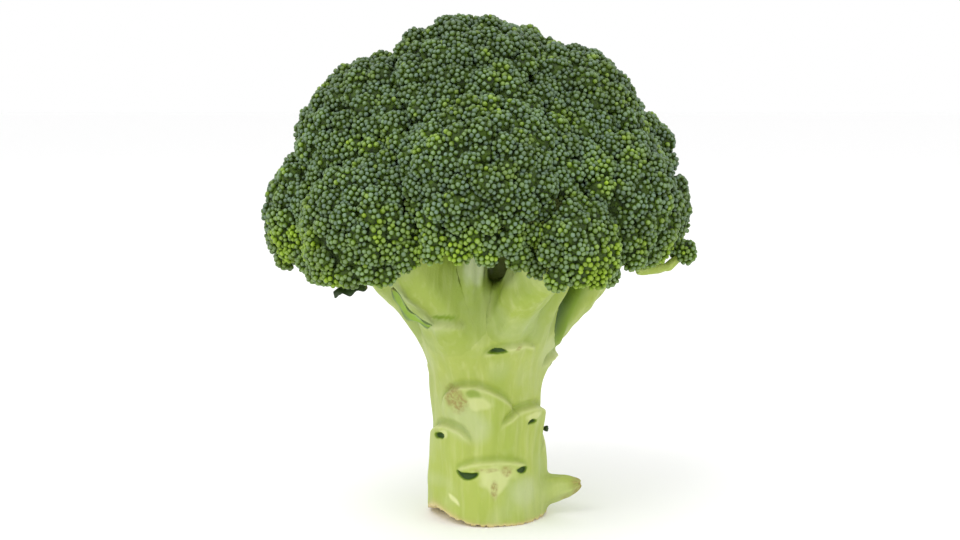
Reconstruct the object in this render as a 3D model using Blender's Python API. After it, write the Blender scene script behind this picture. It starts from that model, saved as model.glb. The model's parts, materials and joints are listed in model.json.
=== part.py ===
"""A head of broccoli as cut, standing on the flat end of its stalk.

Frame: the origin is the centre of the cut end, +Z runs up the stalk, -Y is the front and +X the right
side seen from the front. All sizes are in metres and all angles in degrees. Azimuths turn from +X
towards +Y, so the front is 270.

The stalk carries sixteen florets in three tiers. Each floret is a stem and a bud head. The bud heads
are laid out inside a unit sphere, which is then stretched into the crown's ellipsoid, so they stay
pressed together whatever the crown's size. A bud head is a lumpy ball, trimmed flat where it presses
against its neighbours, and cut off square under its middle, where its stem enters.
"""

import math
from typing import NamedTuple

import bmesh
import bpy
from mathutils import Matrix, Vector
from mathutils.geometry import interpolate_bezier

# Stalk: round, waisted above its cut end, tapering to a tip inside the crown.
STALK_LENGTH = 0.064
CUT_END_RADIUS = 0.0225
WAIST_RADIUS = 0.0195
SHOULDER_RADIUS = 0.0212
STALK_TIP_RADIUS = 0.0085

# Crown: the ellipsoid that the bud heads touch from inside. It leans a little to the left.
CROWN_HALF_WIDTH = 0.081
CROWN_HALF_DEPTH = 0.074
CROWN_RISE = 0.084
CROWN_LEAN = -0.0025
CROWN_CENTRE_HEIGHT = STALK_LENGTH + CROWN_RISE * 0.44

# Heights at which the three tiers of stems leave the stalk.
RIM_TIER = STALK_LENGTH
UPPER_TIER = STALK_LENGTH + CROWN_RISE * 0.30
TOP_TIER = STALK_LENGTH + CROWN_RISE * 0.44
STALK_TIP_HEIGHT = STALK_LENGTH + CROWN_RISE * 0.52

# Bud heads, as shares of the crown's size or of the head's own radius.
LUMP_SPACING = 0.20
LUMP_GROOVE = 0.075
LUMP_PACKING = 1.15
LUMP_CORNER = 1.2
UNDERSIDE_DEPTH = 0.10
LEVEL_CUT_DEPTH = 0.62
HEAD_SUBDIVISIONS = 4

# Stems leave the stalk at STEM_LEAVING degrees above level, and widen again under their bud heads.
STEM_LEAVING = 45
STEM_FLARE = 1.30
STEM_ROOT_SHARE = 0.45
STEM_SIDES = 14
STEM_STATIONS = 8

# The sprig: one stray tuft of buds on a thin stem, hanging from under the front right head.
SPRIG_AZIMUTH = 350
SPRIG_REACH = 0.91
SPRIG_HEAD_RADIUS = CROWN_HALF_WIDTH * 0.068
SPRIG_STEM_RADIUS = 0.0015
SPRIG_STEM_ROOT = 0.5
SPRIG_HANG = 0.8
SPRIG_SAG = 0.0032

# The stub of a cut leaf at the foot of the stalk.
LEAF_STUB_AZIMUTH = 350
LEAF_STUB_HEIGHT = 0.0085
LEAF_STUB_LENGTH = 0.0140
LEAF_STUB_RISE = 0.0065
LEAF_STUB_ROOT = 0.8
LEAF_STUB_HALF_WIDTH = 0.0046
LEAF_STUB_HALF_THICKNESS = 0.0036

# Small leaves: one in the crotch of the front left stem, one hanging under the left head.
LEAF_HALF_THICKNESS = 0.0005
CROTCH_LEAF_HEIGHT = STALK_LENGTH * 1.03
CROTCH_LEAF_LENGTH = 0.021
CROTCH_LEAF_HALF_WIDTH = 0.0026
CROTCH_LEAF_RISE = 50
RIM_LEAF_LENGTH = 0.012
RIM_LEAF_HALF_WIDTH = 0.0036
RIM_LEAF_SAG = 0.0025
RIM_LEAF_TURN = 40

# A side bud that never grew, on the right of the stalk.
SIDE_BUD_RADIUS = 0.0013
SIDE_BUD_HEIGHT = 0.032
SIDE_BUD_AZIMUTH = 352

# The clearance left wherever one piece meets another.
GAP = 0.0004

STALK_SIDES = 32
STALK_STEPS = 5
LEAF_SIDES = 10
LEAF_STATIONS = 7
GOLDEN_ANGLE = math.pi * (3 - math.sqrt(5))

BUD_GREEN = (0.055, 0.105, 0.035)
STEM_GREEN = (0.42, 0.55, 0.16)
LEAF_GREEN = (0.10, 0.24, 0.06)


class Floret(NamedTuple):
    """One floret. The lobe is its ball's radius as a share of the crown's size."""

    name: str
    azimuth: float
    elevation: float
    lobe: float
    stem_radius: float
    tier: float


FLORETS = (
    Floret("left", 187, 10, 0.38, 0.0092, RIM_TIER),
    Floret("front_left", 228, 7, 0.36, 0.0095, RIM_TIER),
    Floret("front_centre", 271, 25, 0.43, 0.0078, RIM_TIER),
    Floret("front_low", 298, 2, 0.26, 0.0068, RIM_TIER),
    Floret("front_right", 328, 16, 0.40, 0.0105, RIM_TIER),
    Floret("right", 12, 11, 0.34, 0.0092, RIM_TIER),
    Floret("back_right", 55, 11, 0.40, 0.0098, RIM_TIER),
    Floret("back", 99, 10, 0.42, 0.0098, RIM_TIER),
    Floret("back_left", 144, 11, 0.42, 0.0098, RIM_TIER),
    Floret("upper_left", 198, 43, 0.49, 0.0062, UPPER_TIER),
    Floret("upper_right", 336, 51, 0.43, 0.0062, UPPER_TIER),
    Floret("upper_far_right", 10, 28, 0.37, 0.0050, UPPER_TIER),
    Floret("upper_back_right", 58, 44, 0.48, 0.0062, UPPER_TIER),
    Floret("upper_back_left", 127, 43, 0.49, 0.0062, UPPER_TIER),
    Floret("top_front", 252, 74, 0.52, 0.0050, TOP_TIER),
    Floret("top_back", 72, 76, 0.50, 0.0050, TOP_TIER),
)


def direction(azimuth, elevation=0.0):
    """The unit vector that points this way."""
    around = math.radians(azimuth)
    up = math.radians(elevation)
    return Vector((math.cos(up) * math.cos(around), math.cos(up) * math.sin(around), math.sin(up)))


def crown_matrix():
    """Stretches the unit sphere into the crown's ellipsoid."""
    place = Matrix.Translation((CROWN_LEAN, 0, CROWN_CENTRE_HEIGHT))
    return place @ Matrix.Diagonal((CROWN_HALF_WIDTH, CROWN_HALF_DEPTH, CROWN_RISE, 1))


def unit_centre(floret):
    """The centre of the floret's ball in the unit sphere, which the ball touches from inside."""
    return direction(floret.azimuth, floret.elevation) * (1 - floret.lobe)


def head_centre(floret):
    """The centre of the floret's ball in the crown."""
    return crown_matrix() @ unit_centre(floret)


def head_axis(floret):
    """The way the floret faces: from where its stem leaves the stalk to its ball's centre."""
    return (head_centre(floret) - Vector((0, 0, floret.tier))).normalized()


def level_cut(floret):
    """The height under which the floret's ball is cut off level."""
    return head_centre(floret).z - floret.lobe * CROWN_RISE * LEVEL_CUT_DEPTH


def stem_end(floret):
    """The middle of the head's cut-off underside, where its stem enters."""
    depth = floret.lobe * CROWN_RISE * UNDERSIDE_DEPTH
    return head_centre(floret) - head_axis(floret) * depth


def clear_scene():
    """Removes the objects that the file opened with."""
    for obj in list(bpy.data.objects):
        bpy.data.objects.remove(obj)


def make_material(name, colour, roughness):
    """A plain Principled material."""
    material = bpy.data.materials.new(name)
    material.use_nodes = True
    shader = material.node_tree.nodes["Principled BSDF"]
    shader.inputs["Base Color"].default_value = (*colour, 1.0)
    shader.inputs["Roughness"].default_value = roughness
    shader.inputs["Metallic"].default_value = 0.0
    return material


def make_bud_material():
    """The buds' dark blue-green."""
    return make_material("bud_skin", BUD_GREEN, 0.75)


def make_stem_material():
    """The stalk's and the stems' pale yellow-green."""
    return make_material("stem_skin", STEM_GREEN, 0.5)


def make_leaf_material():
    """The small leaves' green."""
    return make_material("leaf_skin", LEAF_GREEN, 0.55)


def add_object(name, bm, material):
    """Puts a finished bmesh into the scene as an object, smooth but for its hard edges."""
    bmesh.ops.recalc_face_normals(bm, faces=bm.faces)
    mesh = bpy.data.meshes.new(name)
    bm.to_mesh(mesh)
    bm.free()
    mesh.shade_smooth()
    mesh.set_sharp_from_angle(angle=math.radians(45))
    mesh.materials.append(material)
    obj = bpy.data.objects.new(name, mesh)
    bpy.context.scene.collection.objects.link(obj)
    return obj


def cut_with_plane(bm, point, normal):
    """Cuts away what lies on the normal's side of the plane, and closes the cut."""
    geometry = bm.verts[:] + bm.edges[:] + bm.faces[:]
    cut = bmesh.ops.bisect_plane(
        bm, geom=geometry, dist=1e-7, plane_co=point, plane_no=normal, clear_outer=True
    )
    edges = [item for item in cut["geom_cut"] if isinstance(item, bmesh.types.BMEdge)]
    if edges:
        bmesh.ops.holes_fill(bm, edges=edges, sides=0)


def loft(rings, sides):
    """A closed bmesh through oval rings, each given as (matrix, half width, half thickness)."""
    bm = bmesh.new()
    loops = []
    for matrix, half_width, half_thickness in rings:
        loop = []
        for side in range(sides):
            angle = math.tau * side / sides
            corner = Vector((half_width * math.cos(angle), half_thickness * math.sin(angle), 0))
            loop.append(bm.verts.new(matrix @ corner))
        loops.append(loop)
    for lower, upper in zip(loops, loops[1:]):
        for side in range(sides):
            after = (side + 1) % sides
            bm.faces.new((lower[side], lower[after], upper[after], upper[side]))
    bm.faces.new(loops[0][::-1])
    bm.faces.new(loops[-1])
    return bm


def path_rings(points, half_widths, half_thicknesses, across):
    """Rings square to a path of points. Each ring's width lies along the vector named across."""
    rings = []
    for index, point in enumerate(points):
        before = points[max(index - 1, 0)]
        after = points[min(index + 1, len(points) - 1)]
        along = (after - before).normalized()
        thickness = along.cross(across).normalized()
        width = thickness.cross(along)
        matrix = Matrix((width, thickness, along)).transposed().to_4x4()
        matrix.translation = point
        rings.append((matrix, half_widths[index], half_thicknesses[index]))
    return rings


def stalk_outline():
    """The stalk's (height, radius) stations from its cut end to its tip."""
    knots = (
        (0.0, CUT_END_RADIUS),
        (STALK_LENGTH * 0.70, WAIST_RADIUS),
        (STALK_LENGTH * 1.06, SHOULDER_RADIUS),
        (STALK_TIP_HEIGHT, STALK_TIP_RADIUS),
    )
    stations = []
    for (low, wide), (high, narrow) in zip(knots, knots[1:]):
        handle = Vector((0, 0, (high - low) / 3))
        start = Vector((wide, 0, low))
        end = Vector((narrow, 0, high))
        curve = interpolate_bezier(start, start + handle, end - handle, end, STALK_STEPS)
        stations += [(point.z, point.x) for point in curve[:-1]]
    stations.append(knots[-1])
    return stations


def stalk_radius(height):
    """The stalk's radius at a height."""
    stations = stalk_outline()
    for (low, lower), (high, upper) in zip(stations, stations[1:]):
        if height <= high:
            return lower + (upper - lower) * (height - low) / (high - low)
    return stations[-1][1]


def stalk_loft(clearance):
    """The stalk's bmesh, thicker by clearance all round and longer by it at the tip."""
    rings = [
        (Matrix.Translation((0, 0, height)), radius + clearance, radius + clearance)
        for height, radius in stalk_outline()
    ]
    matrix, half_width, half_thickness = rings[-1]
    rings[-1] = (Matrix.Translation((0, 0, clearance)) @ matrix, half_width, half_thickness)
    return loft(rings, STALK_SIDES)


def make_stalk(material):
    """The stalk, with a flat cut end at height 0."""
    return add_object("stalk", stalk_loft(0), material)


def add_cutter(name, bm, material):
    """Adds a finished bmesh as a hidden object that only cuts others."""
    cutter = add_object(name, bm, material)
    cutter.hide_render = True
    cutter.display_type = "WIRE"
    return cutter


def make_stalk_cutter(material):
    """A hidden copy of the stalk, a gap thicker, that other pieces are cut with."""
    return add_cutter("stalk_cutter", stalk_loft(GAP), material)


def boxes_meet(first, second):
    """Whether two objects' meshes have boxes that overlap."""
    for axis in range(3):
        one = [vert.co[axis] for vert in first.data.vertices]
        two = [vert.co[axis] for vert in second.data.vertices]
        if min(one) > max(two) or min(two) > max(one):
            return False
    return True


def cut_clear(obj, cutters):
    """Takes the shape of each cutter that is near obj out of it."""
    for cutter in cutters:
        if boxes_meet(obj, cutter):
            modifier = obj.modifiers.new("clear_of_" + cutter.name, "BOOLEAN")
            modifier.operation = "DIFFERENCE"
            modifier.solver = "EXACT"
            modifier.object = cutter


def lump_directions(count, turn):
    """Directions spread evenly over a sphere in a spiral, turned by an angle in radians."""
    directions = []
    for index in range(count):
        height = 1 - (2 * index + 1) / count
        reach = math.sqrt(1 - height * height)
        angle = index * GOLDEN_ANGLE + turn
        directions.append(Vector((reach * math.cos(angle), reach * math.sin(angle), height)))
    return directions


def lumpy_ball(centre, radius, turn, clearance):
    """A lumpy ball of the unit sphere, stretched with the crown and then grown by the clearance."""
    matrix = crown_matrix()
    bm = bmesh.new()
    bmesh.ops.create_icosphere(bm, subdivisions=HEAD_SUBDIVISIONS, radius=1)
    count = round(4 * math.pi * (radius / LUMP_SPACING) ** 2 * LUMP_PACKING)
    lumps = lump_directions(count, turn)
    # The angle from a lump's middle to the corner that it shares with two others.
    corner = LUMP_CORNER * math.sqrt(4 / count)
    for vert in bm.verts:
        facing = vert.co.normalized()
        nearest = max(facing.dot(lump) for lump in lumps)
        away = min(math.acos(min(nearest, 1.0)) / corner, 1.0)
        surface = matrix @ (centre + facing * radius * (1 - LUMP_GROOVE * away**2))
        vert.co = surface + facing * clearance
    return bm


def plane_between(floret, other):
    """The plane in which two florets' balls cross, as (point, normal), or None if they don't."""
    towards = unit_centre(other) - unit_centre(floret)
    distance = towards.length
    reach = (distance**2 + floret.lobe**2 - other.lobe**2) / (2 * distance)
    if reach >= floret.lobe:
        return None
    matrix = crown_matrix()
    point = matrix @ (unit_centre(floret) + towards.normalized() * reach)
    normal = (matrix.to_3x3().inverted().transposed() @ towards).normalized()
    return point, normal


def head_shape(index, floret, clearance):
    """The floret's ball of buds, trimmed against its neighbours and cut off under its middle.

    All of it is grown by the clearance.
    """
    bm = lumpy_ball(unit_centre(floret), floret.lobe, index, clearance)
    for other in FLORETS:
        plane = plane_between(floret, other) if other is not floret else None
        if plane:
            point, normal = plane
            cut_with_plane(bm, point + normal * (clearance - GAP / 2), normal)
    axis = head_axis(floret)
    cut_with_plane(bm, stem_end(floret) - axis * clearance, -axis)
    level = level_cut(floret) - clearance
    cut_with_plane(bm, Vector((0, 0, level)), Vector((0, 0, -1)))
    return bm


def make_head(index, floret, material):
    """The floret's bud head."""
    return add_object(f"head_{floret.name}", head_shape(index, floret, 0), material)


def make_head_cutter(index, floret, material):
    """A hidden copy of the floret's head, a gap bigger, that stems are cut with."""
    return add_cutter(f"head_{floret.name}_cutter", head_shape(index, floret, GAP), material)


def stem_azimuth(floret):
    """The direction that the floret's stem leaves the stalk in."""
    end = stem_end(floret)
    return math.degrees(math.atan2(end.y, end.x)) % 360


def stem_path(floret):
    """The stem's centre line: out of the stalk, then curving up to a little inside the head."""
    end = stem_end(floret) + head_axis(floret) * floret.stem_radius
    outwards = direction(stem_azimuth(floret))
    root_radius = stalk_radius(floret.tier) * STEM_ROOT_SHARE
    if floret.tier == TOP_TIER:
        root_radius = 0
    root = outwards * root_radius + Vector((0, 0, floret.tier))
    reach = (end - root).length
    leaving = direction(stem_azimuth(floret), 90 if floret.tier == TOP_TIER else STEM_LEAVING)
    handle = root + leaving * reach / 3
    arriving = end - head_axis(floret) * reach / 3
    return interpolate_bezier(root, handle, arriving, end, STEM_STATIONS)


def sector_planes(floret):
    """The upright planes half way to the next stems of the same tier, as their outward normals."""
    ring = sorted((other for other in FLORETS if other.tier == floret.tier), key=stem_azimuth)
    place = ring.index(floret)
    azimuth = stem_azimuth(floret)
    after = (stem_azimuth(ring[(place + 1) % len(ring)]) - azimuth) % 360
    before = (azimuth - stem_azimuth(ring[place - 1])) % 360
    return direction(azimuth + after / 2 + 90), direction(azimuth - before / 2 - 90)


def stem_shape(floret, clearance):
    """One floret's stem, kept in its own sector round the stalk and cut off under its bud head.

    Its sides are grown by the clearance.
    """
    points = stem_path(floret)
    last = len(points) - 1
    radii = [
        floret.stem_radius * (1 + (STEM_FLARE - 1) * (index / last) ** 2) + clearance
        for index in range(len(points))
    ]
    across = direction(stem_azimuth(floret) + 90)
    bm = loft(path_rings(points, radii, radii, across), STEM_SIDES)
    for normal in sector_planes(floret):
        cut_with_plane(bm, normal * (clearance - GAP / 2), normal)
    axis = head_axis(floret)
    cut_with_plane(bm, stem_end(floret) - axis * GAP, axis)
    return bm


def make_stem(floret, cutters, material):
    """One floret's stem, cut clear of the stalk, of other heads and of the stems under it."""
    stem = add_object(f"stem_{floret.name}", stem_shape(floret, 0), material)
    cut_clear(stem, cutters)
    return stem


def make_stem_cutter(floret, material):
    """A hidden copy of the floret's stem, a gap thicker, that pieces beside it are cut with."""
    return add_cutter(f"stem_{floret.name}_cutter", stem_shape(floret, GAP), material)


def floret_named(name):
    """The floret with this name."""
    return next(floret for floret in FLORETS if floret.name == name)


def make_sprig(bud_material, stem_material):
    """The stray tuft and its thin stem, which hangs from the level cut of the front right head."""
    owner = floret_named("front_right")
    centre = head_centre(owner)
    radius = owner.lobe * CROWN_RISE
    level = level_cut(owner) - GAP
    tuft = crown_matrix() @ (direction(SPRIG_AZIMUTH) * SPRIG_REACH)
    tuft.z = level + SPRIG_HEAD_RADIUS * SPRIG_HANG
    under = Vector((centre.x, centre.y, level))
    sideways = Vector((tuft.x - under.x, tuft.y - under.y, 0)).normalized()
    root = under + sideways * radius * SPRIG_STEM_ROOT
    # The stem meets the tuft below its middle, square to it.
    entering = (sideways * 4 + Vector((0, 0, 3))).normalized()
    end = tuft - entering * (SPRIG_HEAD_RADIUS + GAP * 2)
    sag = Vector((0, 0, SPRIG_SAG))
    points = interpolate_bezier(root, root - sag, end - entering * SPRIG_SAG, end, LEAF_STATIONS)
    radii = [SPRIG_STEM_RADIUS] * len(points)
    across = sideways.cross(Vector((0, 0, 1)))
    bm = loft(path_rings(points, radii, radii, across), LEAF_SIDES)
    cut_with_plane(bm, Vector((0, 0, level)), Vector((0, 0, 1)))
    add_object("sprig_stem", bm, stem_material)
    ball = bmesh.new()
    place = Matrix.Translation(tuft)
    bmesh.ops.create_icosphere(ball, subdivisions=3, radius=SPRIG_HEAD_RADIUS, matrix=place)
    add_object("sprig_head", ball, bud_material)


def make_tongue(name, points, half_width, half_thickness, taper, across, material):
    """A flattened tongue along a path, its width and thickness following the taper."""
    widths = [half_width * share for share in taper]
    thicknesses = [half_thickness * math.sqrt(share) for share in taper]
    bm = loft(path_rings(points, widths, thicknesses, across), LEAF_SIDES)
    return add_object(name, bm, material)


def make_leaf_stub(cutters, material):
    """What is left of a cut leaf: a short thick tongue that leans up out of the stalk's foot."""
    outwards = direction(LEAF_STUB_AZIMUTH)
    root = outwards * CUT_END_RADIUS * LEAF_STUB_ROOT + Vector((0, 0, LEAF_STUB_HEIGHT))
    reach = CUT_END_RADIUS + LEAF_STUB_LENGTH
    tip = outwards * reach + Vector((0, 0, LEAF_STUB_HEIGHT + LEAF_STUB_RISE))
    points = [root.lerp(tip, index / (LEAF_STATIONS - 1)) for index in range(LEAF_STATIONS)]
    taper = (1.15, 1.0, 0.92, 0.86, 0.80, 0.70, 0.40)
    across = direction(LEAF_STUB_AZIMUTH + 90)
    stub = make_tongue(
        "leaf_stub", points, LEAF_STUB_HALF_WIDTH, LEAF_STUB_HALF_THICKNESS, taper, across, material
    )
    cut_clear(stub, cutters)
    return stub


def make_crotch_leaf(cutters, material):
    """A narrow leaf that rises from the stalk in the crotch between the two left-hand stems."""
    first = stem_azimuth(floret_named("left"))
    second = stem_azimuth(floret_named("front_left"))
    middle = (first + second) / 2
    out = stalk_radius(CROTCH_LEAF_HEIGHT) + GAP * 4
    root = direction(middle) * out + Vector((0, 0, CROTCH_LEAF_HEIGHT))
    leaving = direction(middle, CROTCH_LEAF_RISE / 2) * CROTCH_LEAF_LENGTH / 3
    tip = root + direction(middle, CROTCH_LEAF_RISE) * CROTCH_LEAF_LENGTH
    points = interpolate_bezier(root, root + leaving, tip - leaving, tip, LEAF_STATIONS)
    taper = (0.55, 0.8, 1.0, 1.0, 0.9, 0.65, 0.2)
    across = direction(middle + 90)
    leaf = make_tongue(
        "crotch_leaf", points, CROTCH_LEAF_HALF_WIDTH, LEAF_HALF_THICKNESS, taper, across, material
    )
    cut_clear(leaf, cutters)
    return leaf


def make_rim_leaf(material):
    """A small dark leaf that hangs under the level cut of the front left head."""
    owner = floret_named("front_left")
    centre = head_centre(owner)
    level = level_cut(owner) - GAP - LEAF_HALF_THICKNESS * 2
    heading = owner.azimuth - RIM_LEAF_TURN
    root = Vector((centre.x, centre.y, level)) + direction(heading) * RIM_LEAF_LENGTH / 2
    tip = root + direction(heading) * RIM_LEAF_LENGTH - Vector((0, 0, RIM_LEAF_SAG))
    points = [root.lerp(tip, index / (LEAF_STATIONS - 1)) for index in range(LEAF_STATIONS)]
    taper = (0.35, 0.75, 0.95, 1.0, 0.9, 0.65, 0.25)
    across = direction(heading + 90)
    return make_tongue(
        "rim_leaf", points, RIM_LEAF_HALF_WIDTH, LEAF_HALF_THICKNESS, taper, across, material
    )


def make_side_bud(material):
    """A tiny round bud beside the stalk, a gap clear of it."""
    out = stalk_radius(SIDE_BUD_HEIGHT) + GAP + SIDE_BUD_RADIUS
    place = Matrix.Translation(direction(SIDE_BUD_AZIMUTH) * out + Vector((0, 0, SIDE_BUD_HEIGHT)))
    bm = bmesh.new()
    bmesh.ops.create_icosphere(bm, subdivisions=2, radius=SIDE_BUD_RADIUS, matrix=place)
    return add_object("side_bud", bm, material)


def main():
    """Builds the whole head of broccoli."""
    clear_scene()
    bud_material = make_bud_material()
    stem_material = make_stem_material()
    leaf_material = make_leaf_material()
    make_stalk(stem_material)
    stalk_cutter = make_stalk_cutter(stem_material)
    head_cutters = {}
    for index, floret in enumerate(FLORETS):
        make_head(index, floret, bud_material)
        head_cutters[floret] = make_head_cutter(index, floret, bud_material)
    stem_cutters = {floret: make_stem_cutter(floret, stem_material) for floret in FLORETS}
    for floret in FLORETS:
        cutters = [stalk_cutter]
        cutters += [head_cutters[other] for other in FLORETS if other is not floret]
        cutters += [stem_cutters[other] for other in FLORETS if other.tier < floret.tier]
        make_stem(floret, cutters, stem_material)
    make_sprig(bud_material, stem_material)
    make_leaf_stub([stalk_cutter], stem_material)
    make_crotch_leaf([stalk_cutter, *stem_cutters.values()], leaf_material)
    make_rim_leaf(leaf_material)
    make_side_bud(leaf_material)


main()
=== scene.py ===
"""The looks of a head of broccoli: its bud crown, branching stalk, small leaves and studio.

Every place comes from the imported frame: bud clusters sit on the CAD bud heads, and the skin of the
stalk and stems is carried on the CAD stalk and stems. Some front stems are bent a few millimetres
off theirs. All sizes are in metres. Azimuths are in degrees from +X towards +Y, so the front of
the head is at 270.
"""

import json
import logging
import math
from dataclasses import dataclass, field, replace
from enum import Enum
from typing import Any

import bpy
import numpy as np
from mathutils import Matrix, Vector
from numpy.typing import NDArray

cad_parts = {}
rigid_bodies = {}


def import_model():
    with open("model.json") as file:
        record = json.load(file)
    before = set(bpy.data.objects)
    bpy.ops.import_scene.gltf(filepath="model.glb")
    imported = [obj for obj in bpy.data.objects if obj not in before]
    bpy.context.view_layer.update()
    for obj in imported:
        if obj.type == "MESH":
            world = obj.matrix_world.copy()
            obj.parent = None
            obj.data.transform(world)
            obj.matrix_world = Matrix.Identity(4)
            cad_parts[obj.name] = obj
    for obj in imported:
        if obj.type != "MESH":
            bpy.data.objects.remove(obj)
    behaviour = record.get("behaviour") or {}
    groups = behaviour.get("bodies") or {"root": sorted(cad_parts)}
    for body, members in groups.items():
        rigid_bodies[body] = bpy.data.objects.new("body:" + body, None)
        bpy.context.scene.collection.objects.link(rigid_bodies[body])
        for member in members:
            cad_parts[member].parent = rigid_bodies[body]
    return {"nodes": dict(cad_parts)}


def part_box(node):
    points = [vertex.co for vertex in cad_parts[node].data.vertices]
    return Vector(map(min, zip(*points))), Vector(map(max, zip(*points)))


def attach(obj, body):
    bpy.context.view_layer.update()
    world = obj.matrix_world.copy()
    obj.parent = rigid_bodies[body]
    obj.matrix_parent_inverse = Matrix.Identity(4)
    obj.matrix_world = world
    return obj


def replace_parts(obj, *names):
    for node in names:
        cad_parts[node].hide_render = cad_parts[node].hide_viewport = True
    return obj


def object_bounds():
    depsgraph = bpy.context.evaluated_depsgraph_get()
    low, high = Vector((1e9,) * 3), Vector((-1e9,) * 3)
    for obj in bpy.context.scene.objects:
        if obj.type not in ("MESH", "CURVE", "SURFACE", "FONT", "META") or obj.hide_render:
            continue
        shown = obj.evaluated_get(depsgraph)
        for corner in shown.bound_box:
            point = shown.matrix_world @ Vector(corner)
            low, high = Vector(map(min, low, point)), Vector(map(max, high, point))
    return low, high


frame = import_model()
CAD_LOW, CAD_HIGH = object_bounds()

Array = NDArray[np.float64]
Index = NDArray[np.int64]

LOG = logging.getLogger("broccoli")
BODY = "root"
GOLDEN_ANGLE = math.pi * (3 - math.sqrt(5))
UP = np.array([0.0, 0.0, 1.0])
LEVEL = np.array([1.0, 1.0, 0.0])

# A distance that counts as nowhere near, and how far out a plane is that cuts nothing.
AWAY = 1.0
FAR = 10.0
# How far a bud may sink into a cluster that isn't its own, and how far it keeps off a cut.
BUD_CLEARANCE = 0.0002
# The part of a CAD stem's length that is sliced, clear of its ends.
SLICED = (0.22, 0.96)
# Stems whose lowest point is under this leave the stalk itself, and get a new root in it.
RIM_STEMS_BELOW = 0.075
# What colours the skin of stalk and stems, painted crease shade among it, as shares from 0 to 1.
SKIN_VALUES = ("slit", "brown", "pale", "wax", "cut")
HOLE_DEPTH = 0.0014
# How far a skin sinks where another takes over, and how deep in that one it goes back to its tube.
SINK = 0.0007
BURIED_FROM = 0.0024
# How pale a scar's edge is, how green the line over it, and how much wax blooms on the skin.
EDGE_PALE = 0.55
LINE_GREEN = 0.12
BLOOM = 0.45


class Slot(Enum):
    """The record's material slots."""

    BUDS = "bud_skin"
    STEM = "stem_skin"
    LEAF = "leaf_skin"


# ---------------------------------------------------------------- arithmetic


def unit(vectors: Array) -> Array:
    """Scales each vector to length one.

    Args:
        vectors: vectors along the last axis.

    Returns:
        The same directions, each of length one.
    """
    return vectors / np.maximum(np.linalg.norm(vectors, axis=-1, keepdims=True), 1e-12)


def smoothstep(values: Array) -> Array:
    """Eases 0 to 1 over the same range: 3t squared less 2t cubed, flat outside."""
    t = np.clip(values, 0.0, 1.0)
    return t * t * (3 - 2 * t)


def bearing(azimuth: float, elevation: float = 0.0) -> Array:
    """The unit vector at an azimuth and elevation in degrees."""
    a, e = math.radians(azimuth), math.radians(elevation)
    return np.array([math.cos(e) * math.cos(a), math.cos(e) * math.sin(a), math.sin(e)])


def turns_round(count: int) -> Array:
    """Angles in radians, evenly spaced round a circle from 0."""
    return np.arange(count) * math.tau / count


def bell(values: Array) -> Array:
    """A bell curve: 1 at 0, falling away on both sides."""
    return np.exp(-(values**2))


def linear(colour: tuple[int, int, int]) -> tuple[float, float, float, float]:
    """Turns an everyday 0 to 255 colour into the linear one that shaders take.

    Args:
        colour: red, green and blue from 0 to 255.

    Returns:
        Red, green, blue and an alpha of 1, from 0 to 1.
    """
    share = np.array(colour) / 255.0
    value = np.where(share <= 0.04045, share / 12.92, ((share + 0.055) / 1.055) ** 2.4)
    return (float(value[0]), float(value[1]), float(value[2]), 1.0)


def waves(points: Array, scale: float, seed: int) -> Array:
    """Smooth random swells: the mean of several sine waves in random directions.

    Args:
        points: places, (n, 3).
        scale: rough distance from crest to crest.
        seed: picks the directions and phases.

    Returns:
        A value from about -1 to 1 for each place.
    """
    rng = np.random.default_rng(seed)
    directions = unit(rng.normal(size=(7, 3))) * rng.uniform(0.7, 1.5, (7, 1))
    phases = rng.uniform(0, math.tau, 7)
    swell = np.sin(points @ directions.T * (math.tau / scale) + phases)
    return swell.mean(axis=-1) * 1.8


def separation(first: Array, second: Array) -> Array:
    """Every distance between two sets of places: the root of a.a + b.b - 2 a.b.

    Args:
        first: (n, 3).
        second: (m, 3).

    Returns:
        (n, m).
    """
    squares = (first * first).sum(axis=1)[:, None] + (second * second).sum(axis=1)
    return np.sqrt(np.maximum(squares - 2 * first @ second.T, 0))


def frames_about(axes: Array, spins: Array) -> Array:
    """A right-handed frame about each axis, turned about it by the spin.

    Args:
        axes: unit vectors, (n, 3).
        spins: angles in radians, (n,).

    Returns:
        (n, 3, 3), rows across, along and up, where up is the axis.
    """
    helper = np.where(np.abs(axes[:, 2:3]) < 0.9, UP, np.array([1.0, 0.0, 0.0]))
    across = unit(np.cross(helper, axes))
    along = np.cross(axes, across)
    c, s = np.cos(spins)[:, None], np.sin(spins)[:, None]
    return np.stack([across * c + along * s, along * c - across * s, axes], axis=1)


# ---------------------------------------------------------------- meshes


def shown(name: str, data: Any) -> bpy.types.Object:
    """A new object in the scene that shows a mesh, a light or a camera.

    Args:
        name: the object's name.
        data: what it shows.

    Returns:
        The object, at the origin.
    """
    obj = bpy.data.objects.new(name, data)
    bpy.context.scene.collection.objects.link(obj)
    return obj


def stand_off(obj: bpy.types.Object, target: Vector, offset: Array) -> None:
    """Stands a light or a camera off from a target, and turns it to face that."""
    obj.location = target + Vector(offset)
    obj.rotation_euler = (target - obj.location).to_track_quat("-Z", "Y").to_euler()


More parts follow.
